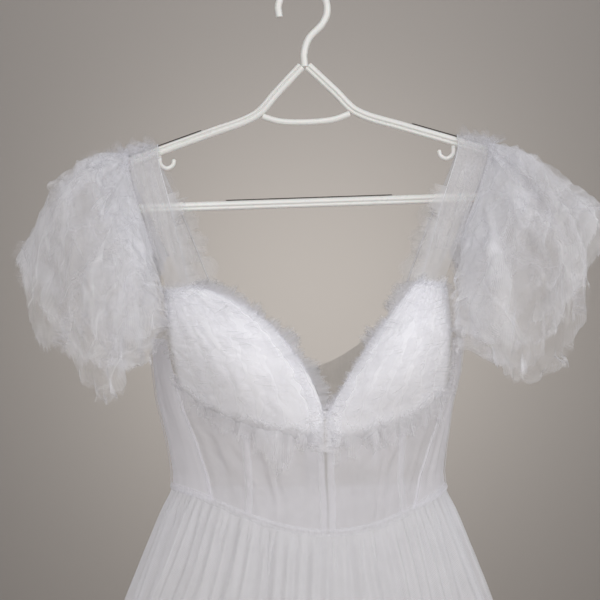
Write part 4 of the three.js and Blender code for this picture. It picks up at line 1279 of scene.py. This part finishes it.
def build_hanger():
    end_radius = (arm_z(ARM_END_X) - BAR_Z) / 2
    end_middle = arm_z(ARM_END_X) - end_radius
    for name, side in (("left", -1), ("right", 1)):
        route = [(x, NECK_Z - x) for x in (NECK_HALF, 30)] + [(BEND_X - 6, BEND_Z + 5)]
        along = [BEND_X + 8] + [lerp(BEND_X, ARM_END_X, t) for t in (0.3, 0.65, 0.97)]
        route += [(x, arm_z(x)) for x in along]
        route += [on_circle(ARM_END_X, end_middle, end_radius, degrees) for degrees in (50, 15, -20, -55)]
        route += [(ARM_END_X + 5, BAR_Z), (ARM_END_X - 2, BAR_Z)]
        route = [(side * x, z) for x, z in route]
        tube(f"arm_{name}", route, TUBE_DEEP, TUBE_HIGH, segments=60, stations=150, groove=0.7)
        root = STRAP_HOOK_AT[name]
        top = arm_z(root) - TUBE_HIGH / 2 - 0.9
        curl = ((0, 0), (1, 8), (7, 12), (13, 9), (14.5, 4))
        tube(f"strap_hook_{name}", [(side * (root - x), top - down) for x, down in curl], 4.2, 4.2, stations=40)
    half = ARM_END_X - 2.3
    bar = [(-half, BAR_Z), (0, BAR_Z), (half, BAR_Z)]
    tube("bar", bar, TUBE_DEEP, TUBE_HIGH, segments=48, stations=300, groove=0.55, collars=BAR_COLLARS)
    end_x = BEND_X - 9.7
    brace = [(-end_x, BEND_Z + 0.2), (-27, -132.4), (0, -134.2), (27, -132.4), (end_x, BEND_Z + 0.2)]
    tube("brace", brace, TUBE_DEEP - 1.6, 6)
    bend = (-38, -10, 20, 50, 80, 110, 140, 170, 196)
    route = [(0, NECK_Z - NECK_HALF + 0.5), (0, NECK_Z + 10), (5, NECK_Z + 24)]
    route += [on_circle(0, -HOOK_INNER, HOOK_INNER + HOOK_THICK / 2, degrees) for degrees in bend]
    tube("hook", route, HOOK_THICK, HOOK_THICK, stations=120)


# ------------------------------------------------------------------ nodes that stay, and the stage
KEPT_NODES = {"hanger_grip": RUBBER, "hook_and_eye": WIRE}  # the starts of their names
BACKDROP_Y = 4.6  # far enough behind the dress that it can be looked at from behind too
FLOOR_Z = -1.42
# Lights: name, place, what they shine at, size in metres, power in watts and colour.
LIGHTS = [
    ("window", (-0.9, -2.2, 1.0), (0, 0, -0.35), 2.4, 33, "#FFFEFD"),
    ("room", (1.5, -1.8, 0.0), (0, 0, -0.4), 2.2, 27, "#FFFFFF"),
    ("backdrop_glow", (0.05, BACKDROP_Y - 0.93, -0.35), (0.05, BACKDROP_Y, -0.42), 1.16, 14.3, "#FFFDF8"),
    ("backdrop_wash", (0, BACKDROP_Y - 2.0, 2.2), (0, BACKDROP_Y, -0.3), 2.5, 51, "#FFFDFB"),
]
ROOM_COLOUR, ROOM_LIGHT = "#D9D8DA", 0.52
CAMERA_AT = (-0.002, -1.9, -0.312)
VIEW_WIDTH = 0.6  # what the camera sees across, at the hanger
SENSOR = 36
NET_LAYERS = 40  # how many plies of net a ray may pass


def dress_frame_nodes():
    for node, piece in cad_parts.items():
        for start, finish in KEPT_NODES.items():
            if node.startswith(start):
                piece.data.materials.clear()
                piece.data.materials.append(finish)


def stage_plane(name, size, location, rotation, colour):
    plane = new_object(name, grid_mesh(name, 1, 1, size))
    plane.location, plane.rotation_euler = location, rotation
    plane.data.materials.append(new_material(name, colour, Roughness=0.9, Specular_IOR_Level=0.1)[0])


def area_light(name, location, target, size, power, colour):
    light = bpy.data.lights.new(name, "AREA")
    light.shape = "DISK"
    light.size, light.energy, light.color = size, power, srgb(colour)[:3]
    lamp = new_object(name, light)
    lamp.location = location
    lamp.visible_camera = False
    lamp.rotation_euler = (Vector(target) - Vector(location)).to_track_quat("-Z", "Y").to_euler()


def build_stage():
    stage_plane("floor", 6, (0, 0, FLOOR_Z), (0, 0, 0), "#C9C3BC")
    stage_plane("backdrop", 9, (0, BACKDROP_Y, 0), (np.radians(90), 0, 0), "#8C8885")
    for light in LIGHTS:
        area_light(*light)
    world = bpy.data.worlds.new("soft_room")
    world.use_nodes = True
    sky = world.node_tree.nodes["Background"].inputs
    sky["Color"].default_value, sky["Strength"].default_value = srgb(ROOM_COLOUR), ROOM_LIGHT
    scene = bpy.context.scene
    scene.world = world
    scene.view_settings.view_transform = "Standard"
    scene.cycles.transparent_max_bounces = NET_LAYERS
    camera = bpy.data.cameras.new("camera")
    camera.sensor_width = SENSOR
    camera.lens = SENSOR * -CAMERA_AT[1] / VIEW_WIDTH
    scene.camera = new_object("camera", camera)
    scene.camera.location = CAMERA_AT
    scene.camera.rotation_euler = (np.radians(90), 0, 0)


build_stage()
build_hanger()
build_bodice()
build_seams()
build_placket()
for cup_name, cup_sizes in CUPS.items():
    build_cup(cup_name, cup_sizes)
    build_cup_frills(cup_name, cup_sizes)
    build_cup_hem(cup_name, cup_sizes)
    build_strap(cup_name)
    for ply_number, ply_sizes in enumerate(SLEEVE_PLIES):
        sleeve_ply(cup_name, ply_number, ply_sizes)
    build_head(cup_name)
    build_ridges(cup_name)
build_centre_gather()
build_skirt()
dress_frame_nodes()
